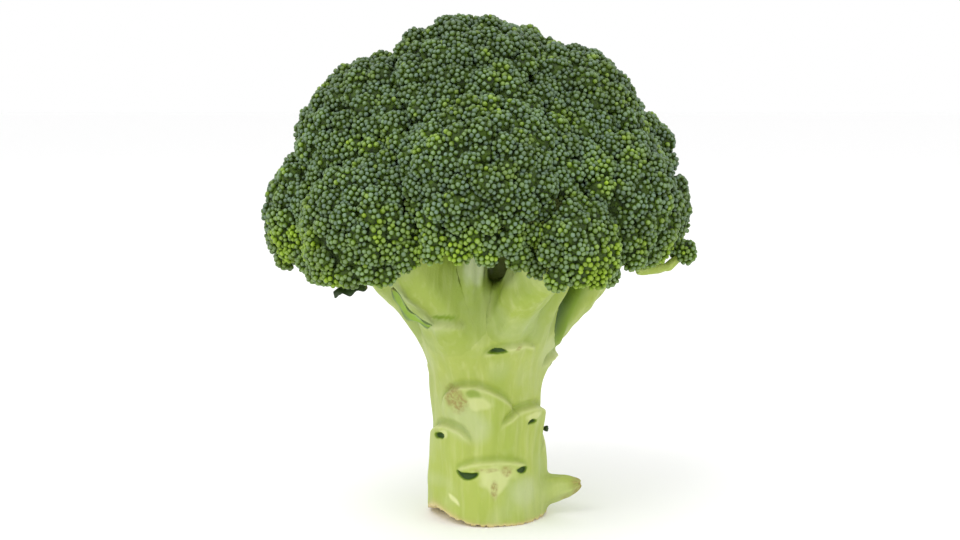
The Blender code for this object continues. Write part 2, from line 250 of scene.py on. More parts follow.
@dataclass
class Skin:
    """A mesh held as arrays: points, faces by their number of corners, and what shaders read."""

    points: Array
    faces: list[Index]
    values: dict[str, Array] = field(default_factory=dict)
    cells: Array | None = None

    def to_object(self, name: str, material: bpy.types.Material, slot: Slot) -> bpy.types.Object:
        """Makes the mesh an object that rides with the head.

        Args:
            name: the piece's name.
            material: its finish.
            slot: the record slot the finish stands for; not used.

        Returns:
            The new object, at the origin.
        """
        mesh = bpy.data.meshes.new(name)
        corners = np.concatenate([group.ravel() for group in self.faces])
        counts = np.concatenate([np.full(len(g), g.shape[1]) for g in self.faces])
        mesh.vertices.add(len(self.points))
        mesh.vertices.foreach_set("co", self.points.astype(np.float32).ravel())
        mesh.loops.add(len(corners))
        mesh.loops.foreach_set("vertex_index", corners.astype(np.int32))
        mesh.polygons.add(len(counts))
        starts = np.concatenate([[0], np.cumsum(counts)[:-1]])
        mesh.polygons.foreach_set("loop_start", starts.astype(np.int32))
        mesh.update(calc_edges=True)
        for key, value in self.values.items():
            layer = mesh.attributes.new(key, "FLOAT", "POINT")
            layer.data.foreach_set("value", value.astype(np.float32).ravel())
        if self.cells is not None:
            layer = mesh.uv_layers.new(name="OFBake")
            layer.data.foreach_set("uv", self.cells.astype(np.float32).ravel())
        mesh.shade_smooth()
        mesh.materials.append(material)
        obj = shown(name, mesh)
        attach(obj, BODY)
        LOG.info("%s: %d faces", name, len(counts))
        return obj

    def facing_out(self) -> "Skin":
        """The same skin, turned the right way out if its volume is below nothing.

        Returns:
            This skin.
        """
        volume = 0.0
        for group in self.faces:
            for step in range(1, group.shape[1] - 1):
                a, b, c = (self.points[group[:, i]] for i in (0, step, step + 1))
                volume += float((a * np.cross(b, c)).sum())
        if volume < 0:
            self.faces = [group[:, ::-1] for group in self.faces]
        return self


def joined(skins: list[Skin]) -> Skin:
    """Puts several skins that carry the same values into one.

    Args:
        skins: at least one.

    Returns:
        All their points and faces as one skin.
    """
    offsets = np.cumsum([0] + [len(skin.points) for skin in skins[:-1]])
    faces = [group + o for skin, o in zip(skins, offsets) for group in skin.faces]
    values = {key: np.concatenate([s.values[key] for s in skins]) for key in skins[0].values}
    return Skin(np.concatenate([skin.points for skin in skins]), faces, values)


def tube_faces(rows: int, columns: int) -> list[Index]:
    """Faces of a closed tube: quads between rings, and a fan onto a pole at each end.

    Points run ring by ring, then the first pole, then the last.

    Args:
        rows: rings along the tube.
        columns: points round each ring.

    Returns:
        The quads and the two fans' triangles.
    """
    row = np.arange(rows - 1)[:, None] * columns
    column = np.arange(columns)[None, :]
    after = (column + 1) % columns
    quads = np.stack(
        [row + column, row + after, row + columns + after, row + columns + column], axis=-1
    ).reshape(-1, 4)
    first, last = rows * columns, rows * columns + 1
    end = (rows - 1) * columns
    column, after = column.ravel(), after.ravel()
    start_fan = np.stack([np.full(columns, first), after, column], axis=-1)
    end_fan = np.stack([np.full(columns, last), end + column, end + after], axis=-1)
    return [quads, np.concatenate([start_fan, end_fan])]


def capped(rings: Array) -> Array:
    """Adds to rings of points, (rows, columns, 3), a pole in the middle of each end ring."""
    return np.concatenate([rings.reshape(-1, 3), rings[:1].mean(axis=1), rings[-1:].mean(axis=1)])


def swept(centres: Array, radii: Array, across: Array, columns: int) -> Array:
    """Rings square to a path: each point is the path's, plus the radius along the turning normal.

    Args:
        centres: the path, (rows, 3).
        radii: (rows, columns), or (rows, 1) for round rings.
        across: a direction that the rings' first point lies along.
        columns: points round each ring.

    Returns:
        (rows, columns, 3).
    """
    along = unit(np.gradient(centres, axis=0))
    normal = unit(np.cross(along, across))
    side = np.cross(normal, along)
    turn = turns_round(columns)
    outward = side[:, None] * np.cos(turn)[:, None] + normal[:, None] * np.sin(turn)[:, None]
    return centres[:, None] + outward * np.broadcast_to(radii, (len(centres), columns))[..., None]


def bezier(start: Array, first: Array, second: Array, end: Array, rows: int) -> Array:
    """A cubic curve: the four points weighed by the powers of t and 1 - t."""
    t = np.linspace(0, 1, rows)[:, None]
    return (
        start * (1 - t) ** 3
        + first * 3 * t * (1 - t) ** 2
        + second * 3 * t**2 * (1 - t)
        + end * t**3
    )


@dataclass(frozen=True)
class Bead:
    """One small closed shape that is repeated: a ball squeezed into a bud.

    The surface is (side w cos u, side w sin u, cos v) with side = sin v, narrowed towards the foot
    and pressed into four lobes, u round it and v from its tip to its foot.
    """

    columns: int = 8
    rows: int = 4
    lobes: float = 0.0
    foot: float = 0.8

    def points(self) -> Array:
        """The bead's points: the rings from the foot up, then the foot's pole and the tip's.

        Returns:
            (rings x columns + 2, 3), each coordinate from -1 to 1.
        """
        v = np.linspace(math.pi, 0, self.rows + 1)[1:-1][:, None]
        u = turns_round(self.columns)[None, :]
        height = np.cos(v) * np.ones_like(u)
        narrow = self.foot + (1 - self.foot) * (height + 1) / 2
        side = np.sin(v) * narrow * (1 + self.lobes * np.cos(4 * u) * (height + 1) / 2)
        rings = np.stack([side * np.cos(u), side * np.sin(u), height], axis=-1)
        poles = np.array([[0, 0, -1], [0, 0, 1 - self.lobes]], dtype=float)
        return np.concatenate([rings.reshape(-1, 3), poles])

    def triangles(self) -> Index:
        """The bead's faces, all as triangles."""
        quads, fans = tube_faces(self.rows - 1, self.columns)
        return np.concatenate([quads[:, [0, 1, 2]], quads[:, [0, 2, 3]], fans])

    def cell(self) -> Array:
        """Where each triangle's corners lie in the bead's own square, (triangles, 3, 2).

        Returns:
            Shares round the bead and up it, with a seam triangle's corners kept together.
        """
        rows, columns = self.rows - 1, self.columns
        row = np.repeat(np.arange(rows), columns)
        u = np.concatenate([np.tile(np.arange(columns), rows), [0, 0]]).astype(float)
        v = np.concatenate([(row + 1) / self.rows, [0.0, 1.0]])
        corners = self.triangles()
        cu, cv = u[corners], v[corners]
        pole = corners >= rows * columns
        plain = np.where(pole, np.nan, cu)
        wraps = (np.nanmax(plain, axis=1) - np.nanmin(plain, axis=1) > columns / 2)[:, None]
        cu = np.where(wraps & (cu < columns / 2), cu + columns, cu)
        middle = np.nanmean(np.where(pole, np.nan, cu), axis=1)[:, None]
        cu = np.where(pole, middle, cu) / columns
        return np.stack([cu, cv], axis=-1)

    def repeat(
        self, centres: Array, turns: Array, sizes: Array, values: dict[str, Array]
    ) -> Skin:
        """Copies the bead to many places at once.

        Args:
            centres: (n, 3).
            turns: a frame for each copy, (n, 3, 3).
            sizes: half sizes across, along and up, (n, 3).
            values: a number for each copy, by name.

        Returns:
            All copies as one skin, each in its own cell of the bake map. The value "tip" runs from
            0 at a bead's foot to 1 at its tip.
        """
        shape = self.points()
        count = len(centres)
        points = centres[:, None] + np.einsum("nvi,nij->nvj", shape[None] * sizes[:, None], turns)
        faces = self.triangles()[None] + (np.arange(count) * len(shape))[:, None, None]
        carried = {key: np.repeat(value, len(shape)) for key, value in values.items()}
        carried["tip"] = np.tile((shape[:, 2] + 1) / 2, count)
        side = math.ceil(math.sqrt(count))
        corner = np.stack([np.arange(count) % side, np.arange(count) // side], axis=-1)
        margin = 0.08
        local = self.cell() * (1 - 2 * margin) + margin
        cells = (corner[:, None, None] + local[None]) / side
        return Skin(points.reshape(-1, 3), [faces.reshape(-1, 3)], carried, cells.reshape(-1, 2))


# ---------------------------------------------------------------- the CAD, read


@dataclass(frozen=True)
class CadShape:
    """A CAD node's triangles, and what is flat among them."""

    name: str
    triangles: Array

    @classmethod
    def read(cls, name: str) -> "CadShape":
        """Reads a node's triangles from the frame.

        Args:
            name: the CAD node.

        Returns:
            The shape.
        """
        mesh = bpy.data.objects[name].data
        mesh.calc_loop_triangles()
        points = np.empty(len(mesh.vertices) * 3, np.float32)
        mesh.vertices.foreach_get("co", points)
        corners = np.empty(len(mesh.loop_triangles) * 3, np.int32)
        mesh.loop_triangles.foreach_get("vertices", corners)
        return cls(name, points.reshape(-1, 3).astype(float)[corners.reshape(-1, 3)])

    def crosses(self) -> Array:
        """Each triangle's normal, as long as twice its area."""
        a, b, c = self.triangles.swapaxes(0, 1)
        return np.cross(b - a, c - a)

    def normals(self) -> Array:
        """Each triangle's unit normal."""
        return unit(self.crosses())

    def areas(self) -> Array:
        """Each triangle's area."""
        return np.linalg.norm(self.crosses(), axis=1) / 2

    def centroid(self) -> Array:
        """The middle of the surface."""
        areas = self.areas()
        return (self.triangles.mean(axis=1) * areas[:, None]).sum(axis=0) / areas.sum()

    def flat(self, least: float = 3e-5) -> NDArray[np.bool_]:
        """Which triangles lie in a flat cut of at least this area.

        Args:
            least: the least area, in square metres.

        Returns:
            A yes or no for each triangle.
        """
        normals = self.normals()
        offsets = (normals * self.triangles[:, 0]).sum(axis=1)
        keys = np.round(np.column_stack([normals * 400, offsets * 2e4])).astype(np.int64)
        _, group = np.unique(keys, axis=0, return_inverse=True)
        group = group.reshape(-1)
        area = np.bincount(group, weights=self.areas())
        return area[group] >= least

    def reach(self, origin: Array, directions: Array) -> Array:
        """How far the surface is from a point inside, along each direction.

        A direction passes through the triangle whose three side planes, through the point, it is
        inside of.

        Args:
            origin: a point inside that sees the whole surface.
            directions: unit vectors, (n, 3).

        Returns:
            (n,) distances.
        """
        a, b, c = (self.triangles - origin).swapaxes(0, 1)
        sides = [unit(np.cross(a, b)), unit(np.cross(b, c)), unit(np.cross(c, a))]
        inside = np.min([directions @ side.T for side in sides], axis=0)
        face = inside.argmax(axis=1)
        normal = np.cross(b - a, c - a)[face]
        return (a[face] * normal).sum(axis=1) / (directions * normal).sum(axis=1)


def stalk_profile() -> tuple[Array, Array]:
    """The CAD stalk's heights and its radius at each, from its rings of corners.

    Returns:
        The heights from the foot up, and the radii.
    """
    corners = CadShape.read("stalk").triangles.reshape(-1, 3)
    heights = np.round(corners[:, 2], 5)
    levels = np.unique(heights)
    radii = np.hypot(corners[:, 0], corners[:, 1])
    return levels, np.array([radii[heights == level].max() for level in levels])


# ---------------------------------------------------------------- finishes


class Graph:
    """A material's node graph, built one node at a time."""

    def __init__(self, name: str) -> None:
        """Starts a material that holds only its output."""
        self.material = bpy.data.materials.new(name)
        self.material.use_nodes = True
        self.tree = self.material.node_tree
        self.tree.nodes.clear()

    def add(self, kind: str, inputs: dict[Any, Any] | None = None, **settings: Any) -> Any:
        """Adds a node, and sets or links its inputs.

        Args:
            kind: the node's type.
            inputs: input names or numbers, each with a plain value or another node's output.
            settings: the node's own properties.

        Returns:
            The node.
        """
        node = self.tree.nodes.new(kind)
        for key, value in settings.items():
            setattr(node, key, value)
        for key, value in (inputs or {}).items():
            socket = node.inputs[key]
            if isinstance(value, bpy.types.NodeSocket):
                self.tree.links.new(value, socket)
            else:
                socket.default_value = value
        return node

    def attribute(self, name: str) -> Any:
        """A number carried by the mesh."""
        return self.add("ShaderNodeAttribute", attribute_name=name).outputs["Fac"]

    def place(self, stretch: tuple[float, float, float] = (1, 1, 1)) -> Any:
        """The place on the object, stretched along each axis."""
        source = self.add("ShaderNodeTexCoord").outputs["Object"]
        return self.add(
            "ShaderNodeMapping", {"Vector": source, "Scale": stretch}
        ).outputs["Vector"]

    def noise(self, place: Any, scale: float, detail: float = 3.0) -> Any:
        """Noise from 0 to 1."""
        return self.add(
            "ShaderNodeTexNoise", {"Vector": place, "Scale": scale, "Detail": detail}
        ).outputs["Fac"]

    def spread(self, value: Any, low: float, high: float, to: tuple[float, float] = (0, 1)) -> Any:
        """Maps low..high onto the range, held at both ends."""
        return self.add(
            "ShaderNodeMapRange",
            {"Value": value, "From Min": low, "From Max": high, "To Min": to[0], "To Max": to[1]},
        ).outputs["Result"]

    def maths(self, operation: str, first: Any, second: Any = 0.0) -> Any:
        """One sum on two numbers."""
        return self.add(
            "ShaderNodeMath", {0: first, 1: second}, operation=operation
        ).outputs["Value"]

    def mix(self, share: Any, first: Any, second: Any, blend: str = "MIX") -> Any:
        """Mixes two colours."""
        inputs = {0: share, 6: first, 7: second}
        return self.add("ShaderNodeMix", inputs, data_type="RGBA", blend_type=blend).outputs[2]

    def bump(self, height: Any, distance: float, strength: float = 1.0) -> Any:
        """A normal roughened by a height."""
        return self.add(
            "ShaderNodeBump", {"Height": height, "Distance": distance, "Strength": strength}
        ).outputs["Normal"]

    def finish(self, inputs: dict[str, Any]) -> bpy.types.Material:
        """Closes the graph with the surface shader.

        Args:
            inputs: the surface's inputs.

        Returns:
            The material.
        """
        surface = self.add("ShaderNodeBsdfPrincipled", inputs)
        output = self.add("ShaderNodeOutputMaterial")
        self.tree.links.new(surface.outputs[0], output.inputs["Surface"])
        return self.material


@dataclass(frozen=True)
class BudFinish:
    """Waxy flower buds: blue-green tips, deep green sides and some yellow-green ones, with painted
    shade in their dark feet and their lightness.
    """

    tip: tuple[int, int, int] = (108, 129, 118)
    side: tuple[int, int, int] = (66, 92, 14)
    # The foot colour is painted shade, dark where the buds crowd together.
    foot: tuple[int, int, int] = (24, 42, 0)
    warm_tip: tuple[int, int, int] = (140, 166, 54)
    warm_side: tuple[int, int, int] = (118, 150, 10)

    def make(self, name: str) -> bpy.types.Material:
        """Makes the material.

        Args:
            name: its name.

        Returns:
            The material.
        """
        g = Graph(name)
        place = g.place()
        tip, tone, warm = g.attribute("tip"), g.attribute("tone"), g.attribute("warm")
        high = g.spread(tip, 0.66, 1.0)
        low = g.spread(tip, 0.15, 0.72)
        cool = g.mix(high, linear(self.side), linear(self.tip))
        yellow = g.mix(high, linear(self.warm_side), linear(self.warm_tip))
        colour = g.mix(warm, cool, yellow)
        # Painted shade: each bud darkens towards its foot.
        colour = g.mix(low, linear(self.foot), colour)
        fine = g.noise(place, 900.0)
        patch = g.noise(place, 60.0)
        # Each bud's lightness, partly random and partly painted shade, scales its colour.
        light = g.spread(tone, 0, 1, (0.7, 1.15))
        light = g.maths("ADD", light, g.spread(patch, 0.3, 0.7, (-0.1, 0.12)))
        light = g.maths("ADD", light, g.spread(fine, 0.3, 0.7, (-0.1, 0.1)))
        shade = g.add("ShaderNodeCombineColor", {0: light, 1: light, 2: light}).outputs[0]
        colour = g.mix(1.0, colour, shade, "MULTIPLY")
        rough = g.spread(g.noise(place, 300.0), 0.3, 0.7, (0.42, 0.62))
        return g.finish(
            {
                "Base Color": colour,
                "Roughness": rough,
                "Specular IOR Level": 0.35,
                "Normal": g.bump(fine, 0.0002, 0.6),
            }
        )


@dataclass(frozen=True)
class CoreShadeFinish:
    """The mass of young buds and twigs that shows in the gaps, painted dark green as the shade deep
    among the buds.
    """

    dark: tuple[int, int, int] = (26, 44, 0)
    light: tuple[int, int, int] = (74, 100, 10)

    def make(self, name: str) -> bpy.types.Material:
        """Makes the material.

        Args:
            name: its name.

        Returns:
            The material.
        """
        g = Graph(name)
        place = g.place()
        grain = g.noise(place, 500.0)
        colour = g.mix(g.spread(grain, 0.35, 0.7), linear(self.dark), linear(self.light))
        return g.finish(
            {
                "Base Color": colour,
                "Roughness": g.spread(grain, 0.3, 0.7, (0.7, 0.9)),
                "Normal": g.bump(grain, 0.0012),
            }
        )


@dataclass(frozen=True)
class StemFinish:
    """The skin of stalk and stems: pale yellow-green with long streaks, wax, scars and cuts, and
    painted deep-green shade in the creases between stems.
    """

    low: tuple[int, int, int] = (170, 184, 84)
    middle: tuple[int, int, int] = (171, 184, 87)
    high: tuple[int, int, int] = (158, 176, 74)
    streak: tuple[int, int, int] = (144, 165, 56)
    wax: tuple[int, int, int] = (192, 202, 156)
    # These two colours paint real slits and the line over scars, and also painted deep-green shade
    # in the creases between stems.
    slit: tuple[int, int, int] = (44, 74, 6)
    halo_and_crease_shade: tuple[int, int, int] = (116, 144, 16)
    brown: tuple[int, int, int] = (152, 136, 74)
    pale: tuple[int, int, int] = (212, 217, 152)
    cut: tuple[int, int, int] = (214, 196, 140)

    def make(self, name: str) -> bpy.types.Material:
        """Makes the material.

        Args:
            name: its name.

        Returns:
            The material.
        """
        g = Graph(name)
        place = g.place()
        long = g.place((1.0, 1.0, 0.12))
        height = g.add("ShaderNodeSeparateXYZ", {0: place}).outputs["Z"]
        blotch = g.noise(place, 45.0, 4.0)
        fibre = g.noise(long, 420.0, 4.0)
        strand = g.noise(long, 130.0, 3.0)
        pore = g.noise(place, 1400.0, 2.0)
        colour = g.mix(g.spread(height, 0.015, 0.045), linear(self.low), linear(self.middle))
        colour = g.mix(g.spread(height, 0.058, 0.088), colour, linear(self.high))
        colour = g.mix(g.spread(strand, 0.42, 0.72, (0, 0.55)), colour, linear(self.streak))
        colour = g.mix(g.spread(blotch, 0.48, 0.75, (0, 0.5)), colour, linear(self.wax))
        colour = g.mix(g.spread(fibre, 0.5, 0.8, (0, 0.3)), colour, linear(self.pale))
        colour = g.mix(g.attribute("wax"), colour, linear(self.wax))
        colour = g.mix(g.attribute("pale"), colour, linear(self.pale))
        patchy = g.spread(g.noise(place, 800.0, 4.0), 0.36, 0.62, (0.25, 1))
        brown = g.maths("MULTIPLY", g.attribute("brown"), patchy)
        colour = g.mix(brown, colour, linear(self.brown))
        slit = g.attribute("slit")
        # Painted shade as well as real slits: near a stem's crease these colours paint deep-green
        # shade.
        colour = g.mix(g.spread(slit, 0.0, 0.35), colour, linear(self.halo_and_crease_shade))
        colour = g.mix(g.spread(slit, 0.35, 0.8), colour, linear(self.slit))
        colour = g.mix(g.attribute("cut"), colour, linear(self.cut))
        rough = g.spread(blotch, 0.3, 0.7, (0.46, 0.64))
        relief = g.maths("ADD", fibre, g.maths("MULTIPLY", strand, 1.6))
        relief = g.maths("ADD", relief, g.maths("MULTIPLY", pore, 0.35))
        return g.finish(
            {
                "Base Color": colour,
                "Roughness": rough,
                "Specular IOR Level": 0.4,
                "Subsurface Weight": 0.12,
                "Subsurface Radius": (0.004, 0.005, 0.0015),
                "Subsurface Scale": 0.6,
                "Normal": g.bump(relief, 0.00035, 0.7),
            }
        )


@dataclass(frozen=True)
class LeafFinish:
    """Small leaves: grey-green outside and along the edge, brighter where "pale" is 1."""

    outside: tuple[int, int, int] = (128, 148, 100)
    inside: tuple[int, int, int] = (140, 172, 58)
    dry: tuple[int, int, int] = (150, 122, 70)

    def make(self, name: str) -> bpy.types.Material:
        """Makes the material.

        Args:
            name: its name.

        Returns:
            The material.
        """
        g = Graph(name)
        place = g.place()
        patch = g.noise(place, 160.0)
        fine = g.noise(place, 1200.0)
        colour = g.mix(g.attribute("pale"), linear(self.outside), linear(self.inside))
        colour = g.mix(g.spread(patch, 0.4, 0.75, (0, 0.35)), colour, linear(self.inside))
        colour = g.mix(g.attribute("brown"), colour, linear(self.dry))
        return g.finish(
            {
                "Base Color": colour,
                "Roughness": g.spread(patch, 0.3, 0.7, (0.4, 0.6)),
                "Specular IOR Level": 0.4,
                "Normal": g.bump(fine, 0.0002, 0.5),
            }
        )


@dataclass(frozen=True)
class FloorFinish:
    """A plain pale studio floor."""

    colour: tuple[int, int, int] = (254, 254, 254)

    def make(self, name: str) -> bpy.types.Material:
        """Makes the material.

        Args:
            name: its name.

        Returns:
            The material.
        """
        g = Graph(name)
        grain = g.noise(g.place(), 30.0)
        shade = tuple(0.99 * share for share in linear(self.colour)[:3]) + (1.0,)
        colour = g.mix(grain, linear(self.colour), shade)
        return g.finish(
            {
                "Base Color": colour,
                "Roughness": g.spread(grain, 0.3, 0.7, (0.75, 0.85)),
                "Specular IOR Level": 0.2,
                "Normal": g.bump(grain, 0.0005, 0.1),
            }
        )


# ---------------------------------------------------------------- the crown


@dataclass(frozen=True)
class BudSizes:
    """Sizes of the buds and of the clusters they grow in."""

    spacing: float = 0.0064
    radius: float = 0.0043
    radius_spread: float = 0.20
    pitch: float = 0.00168
    plump: float = 1.18
    tall: float = 1.35
    cap: float = 84.0
    edge_gap: float = 0.0027
    height_spread: float = 0.0013
    core_depth: float = 0.0056
    cut_depth: float = 0.0016
    underside_depth: float = 0.0085
    packing: float = 0.88
    crowding: float = 0.74


SPRIG_BUDS = BudSizes(
    spacing=0.0040, radius=0.0024, pitch=0.0016, edge_gap=0.0, height_spread=0.0006,
    core_depth=0.0030,
)


def spread_out(candidates: Array, spacing: float, start: int = 0) -> list[int]:
    """Chooses places one by one, each the candidate farthest from those already chosen.

    Args:
        candidates: (n, 3).
        spacing: it stops when no candidate is farther off than this.
        start: the first choice.

    Returns:
        The chosen candidates' numbers.
    """
    chosen = [start]
    nearest = np.linalg.norm(candidates - candidates[start], axis=1)
    while nearest.max() > spacing:
        chosen.append(int(nearest.argmax()))
        distance = np.linalg.norm(candidates - candidates[chosen[-1]], axis=1)
        nearest = np.minimum(nearest, distance)
    return chosen


@dataclass
class Clusters:
    """Round clusters of buds: where each is centred, which way it faces, and its radius."""

    sizes: BudSizes
    crown_centre: Array
    seed: int
    centres: Array = field(init=False)
    facing: Array = field(init=False)
    radii: Array = field(init=False)

    def seat(self, tops: Array, facing: Array) -> None:
        """Sinks a cluster under each place, so that its topmost bud just reaches it.

        Args:
            tops: (n, 3).
            facing: the way each cluster faces, (n, 3).
        """
        rng = np.random.default_rng(self.seed + 1)
        self.facing = facing
        spread = self.sizes.radius_spread
        self.radii = self.sizes.radius * rng.uniform(1 - spread, 1 + spread, len(tops))
        lift = rng.uniform(-1, 0.3, len(tops)) * self.sizes.height_spread
        bud = self.sizes.pitch / 2 * self.sizes.tall
        self.centres = tops + facing * (lift - self.radii - bud)[:, None]

    def planes(self) -> tuple[Array, Array]:
        """The flat cuts that the buds keep behind, as unit normals and offsets."""
        return UP[None], np.array([FAR])

    def frames(self) -> Array:
        """A frame for each cluster, with the way it faces as its up."""
        return frames_about(self.facing, np.zeros(len(self.facing)))

    def balls(self) -> Skin:
        """A ball inside each cluster, in the dark finish that paints the shade among the buds, so
        that nothing shows through between its buds.

        Returns:
            All the balls as one skin.
        """
        frames = self.frames()
        half = np.repeat(self.radii[:, None] - BUD_CLEARANCE, 3, axis=1)
        skin = Bead(8, 5, 0.0, 1.0).repeat(self.centres, frames, half, {})
        return Skin(skin.points, skin.faces)

    def spiral(self, rng: np.random.Generator) -> tuple[Array, Array, Array, Index]:
        """Sets buds on each cluster in a spiral from its top.

        Bud i of a cluster stands i areas of the cap down from the top and i golden angles round it.

        Args:
            rng: where the draws come from.

        Returns:
            The buds' places and axes, the cosine of how far down each is, and its cluster's number.
        """
        s = self.sizes
        step = s.pitch**2 * s.packing / (math.tau * self.radii**2)
        cap = 1 - math.cos(math.radians(s.cap))
        fall = (np.arange(int(cap / step.min()) + 1) + 0.5) * step[:, None]
        cluster, number = np.nonzero(fall < cap)
        cosine = 1 - fall[cluster, number]
        turn = number * GOLDEN_ANGLE + rng.uniform(0, math.tau, len(self.radii))[cluster]
        sine = np.sqrt(1 - cosine**2)
        local = np.stack([sine * np.cos(turn), sine * np.sin(turn), cosine], axis=-1)
        local = unit(local + rng.normal(scale=0.05, size=local.shape))
        axes = np.einsum("ni,nij->nj", local, self.frames()[cluster])
        return self.centres[cluster] + axes * self.radii[cluster, None], axes, cosine, cluster

    def free(self, places: Array, cluster: Index, others: Array, other_radii: Array) -> Index:
        """Chooses the buds that don't sink into another cluster, a cut or another bud.

        Args:
            places: the buds' places, (n, 3).
            cluster: each bud's own cluster, (n,).
            others: centres of the clusters of the other heads, (m, 3).
            other_radii: their radii, (m,).

        Returns:
            The numbers of the buds to keep.
        """
        all_centres = np.concatenate([self.centres, others])
        gaps = separation(places, all_centres) - np.concatenate([self.radii, other_radii])
        gaps[np.arange(len(places)), cluster] = AWAY
        normals, offsets = self.planes()
        clear = gaps.min(axis=1) > -BUD_CLEARANCE
        clear &= (offsets - places @ normals.T).min(axis=1) > BUD_CLEARANCE
        kept = np.nonzero(clear)[0]
        close = separation(places[kept], places[kept]) < self.sizes.pitch * self.sizes.crowding
        return kept[~np.tril(close, -1).any(axis=1)]

    def buds(self, others: Array, other_radii: Array, parts: int = 1) -> list[Skin]:
        """Covers each cluster with buds of uneven sizes and leans, each lighter or darker, partly at
        random and partly as painted shade.

        Args:
            others: centres of the clusters of the other heads, (n, 3).
            other_radii: their radii, (n,).
            parts: how many skins to share them out among.

        Returns:
            The buds.
        """
        s = self.sizes
        rng = np.random.default_rng(self.seed + 2)
        places, axes, cosine, cluster = self.spiral(rng)
        free = self.free(places, cluster, others, other_radii)
        places, axes, cosine, cluster = places[free], axes[free], cosine[free], cluster[free]
        count = len(places)
        size = s.pitch / 2 * s.plump * rng.uniform(0.86, 1.14, count)
        tall = size * s.tall / s.plump * rng.uniform(0.9, 1.2, count)
        half = np.stack([size, size * rng.uniform(0.88, 1.05, count), tall], axis=-1)
        leaning = unit(axes + rng.normal(scale=0.1, size=axes.shape))
        frames = frames_about(leaning, rng.uniform(0, math.tau, count))
        warm = self.warmth(places, rng)
        own, shared = rng.normal(size=count), rng.normal(size=len(self.radii))[cluster]
        # Painted light and shade: buds darker towards the crown's top and a little lighter below it,
        # and lighter at a cluster's top than down its sides towards the crevices; the rest of each
        # bud's lightness is random.
        shade = 0.08 - 0.34 * smoothstep((places[:, 2] - 0.120) / 0.055)
        tone = 0.45 + 0.25 * own + 0.16 * shared + 0.45 * (cosine - 0.65) + shade
        tone = np.clip(tone, 0, 1)
        bead = Bead(8, 4, 0.06, 0.8)
        return [
            bead.repeat(places[of], frames[of], half[of], {"tone": tone[of], "warm": warm[of]})
            for of in np.array_split(np.arange(count), parts)
        ]

    def warmth(self, places: Array, rng: np.random.Generator) -> Array:
        """How yellow-green each bud is: most at the lower rim, with patches and specks above.

        Args:
            places: the buds' places, (n, 3).
            rng: where the draws come from.

        Returns:
            A share from 0 to 1 for each bud.
        """
        low = smoothstep((self.crown_centre[2] + 0.020 - places[:, 2]) / 0.032)
        patch = smoothstep(waves(places, 0.026, 5) * 1.3 + 0.25)
        above = smoothstep(waves(places, 0.017, 6) * 1.6 - 0.35)
        speck = rng.uniform(size=len(places)) < 0.04
        own = rng.uniform(size=len(places))
        rim = low * (0.25 + patch * (0.5 + own))
        return np.clip(0.25 * own + rim + 0.55 * above * own + 0.5 * speck, 0, 1)


def gathered(groups: list[Clusters]) -> tuple[Array, Array]:
    """The centres and the radii of several groups' clusters, each in one array."""
    centres = np.concatenate([group.centres for group in groups])
    return centres, np.concatenate([group.radii for group in groups])


@dataclass
class BudHead(Clusters):
    """One head of the crown: bud clusters over its CAD solid, and a core dark with painted shade."""

    name: str = ""
    shape: CadShape = field(init=False)
    centre: Array = field(init=False)

    def __post_init__(self) -> None:
        """Reads the CAD head and lays out its clusters."""
        self.shape = CadShape.read(self.name)
        self.centre = self.shape.centroid()
        self.lay_out()

    def planes(self) -> tuple[Array, Array]:
        """The flat cuts, as unit normals and offsets.

        Returns:
            The normals, (n, 3), and each plane's offset along its own.
        """
        flat = self.shape.flat()
        normals = self.shape.normals()[flat]
        offsets = (normals * self.shape.triangles[flat, 0]).sum(axis=1)
        keys = np.round(np.column_stack([normals * 200, offsets * 1e4]))
        _, first = np.unique(keys, axis=0, return_index=True)
        return np.concatenate([normals[first], UP[None]]), np.append(offsets[first], FAR)

    def scattered(self, count: int) -> Array:
        """Random places, evenly spread over the uncut surface.

        Args:
            count: how many.

        Returns:
            (count, 3).
        """
        rng = np.random.default_rng(self.seed)
        outer = ~self.shape.flat()
        triangles, areas = self.shape.triangles[outer], self.shape.areas()[outer]
        chosen = rng.choice(len(triangles), count, p=areas / areas.sum())
        a, b = rng.uniform(size=(2, count, 1))
        folded = a + b > 1
        a, b = np.where(folded, 1 - a, a), np.where(folded, 1 - b, b)
        corner, second, third = triangles[chosen].swapaxes(0, 1)
        return corner + a * (second - corner) + b * (third - corner)

    def lay_out(self) -> None:
        """Spreads the cluster places over the uncut surface, clear of the cuts' edges."""
        candidates = self.scattered(2600)
        normals, offsets = self.planes()
        room = (offsets - candidates @ normals.T).min(axis=1)
        candidates = candidates[room > self.sizes.edge_gap]
        tops = candidates[spread_out(candidates, self.sizes.spacing)]
        self.seat(tops, unit(unit(tops - self.centre) + unit(tops - self.crown_centre)))

    def core(self) -> Skin:
        """The mass behind the buds: the CAD head's own shape drawn in all round.

        Along each direction of a round grid it stops short of the surface, a little short of a
        side cut, and well short of the underside.

        Returns:
            A closed skin.
        """
        rows, columns = 30, 48
        s = self.sizes
        polar = np.linspace(math.pi, 0, rows + 2)[1:-1][:, None]
        turn = turns_round(columns)[None, :]
        directions = np.stack(
            [np.sin(polar) * np.cos(turn), np.sin(polar) * np.sin(turn),
             np.cos(polar) * np.ones_like(turn)], axis=-1
        ).reshape(-1, 3)
        normals, offsets = self.planes()
        facing = directions @ normals.T
        inset = np.where(normals[:, 2] < -0.35, s.underside_depth, s.cut_depth)
        room = offsets - inset - self.centre @ normals.T
        to_cut = np.where(facing > 1e-3, room / np.maximum(facing, 1e-3), AWAY).min(axis=1)
        reach = self.shape.reach(self.centre, directions) - s.core_depth
        reach = np.maximum(np.minimum(reach, to_cut), 0.002)
        points = self.centre + directions * reach[:, None]
        points += directions * waves(points, 0.006, 9)[:, None] * 0.0004
        return Skin(capped(points.reshape(rows, columns, 3)), tube_faces(rows, columns))


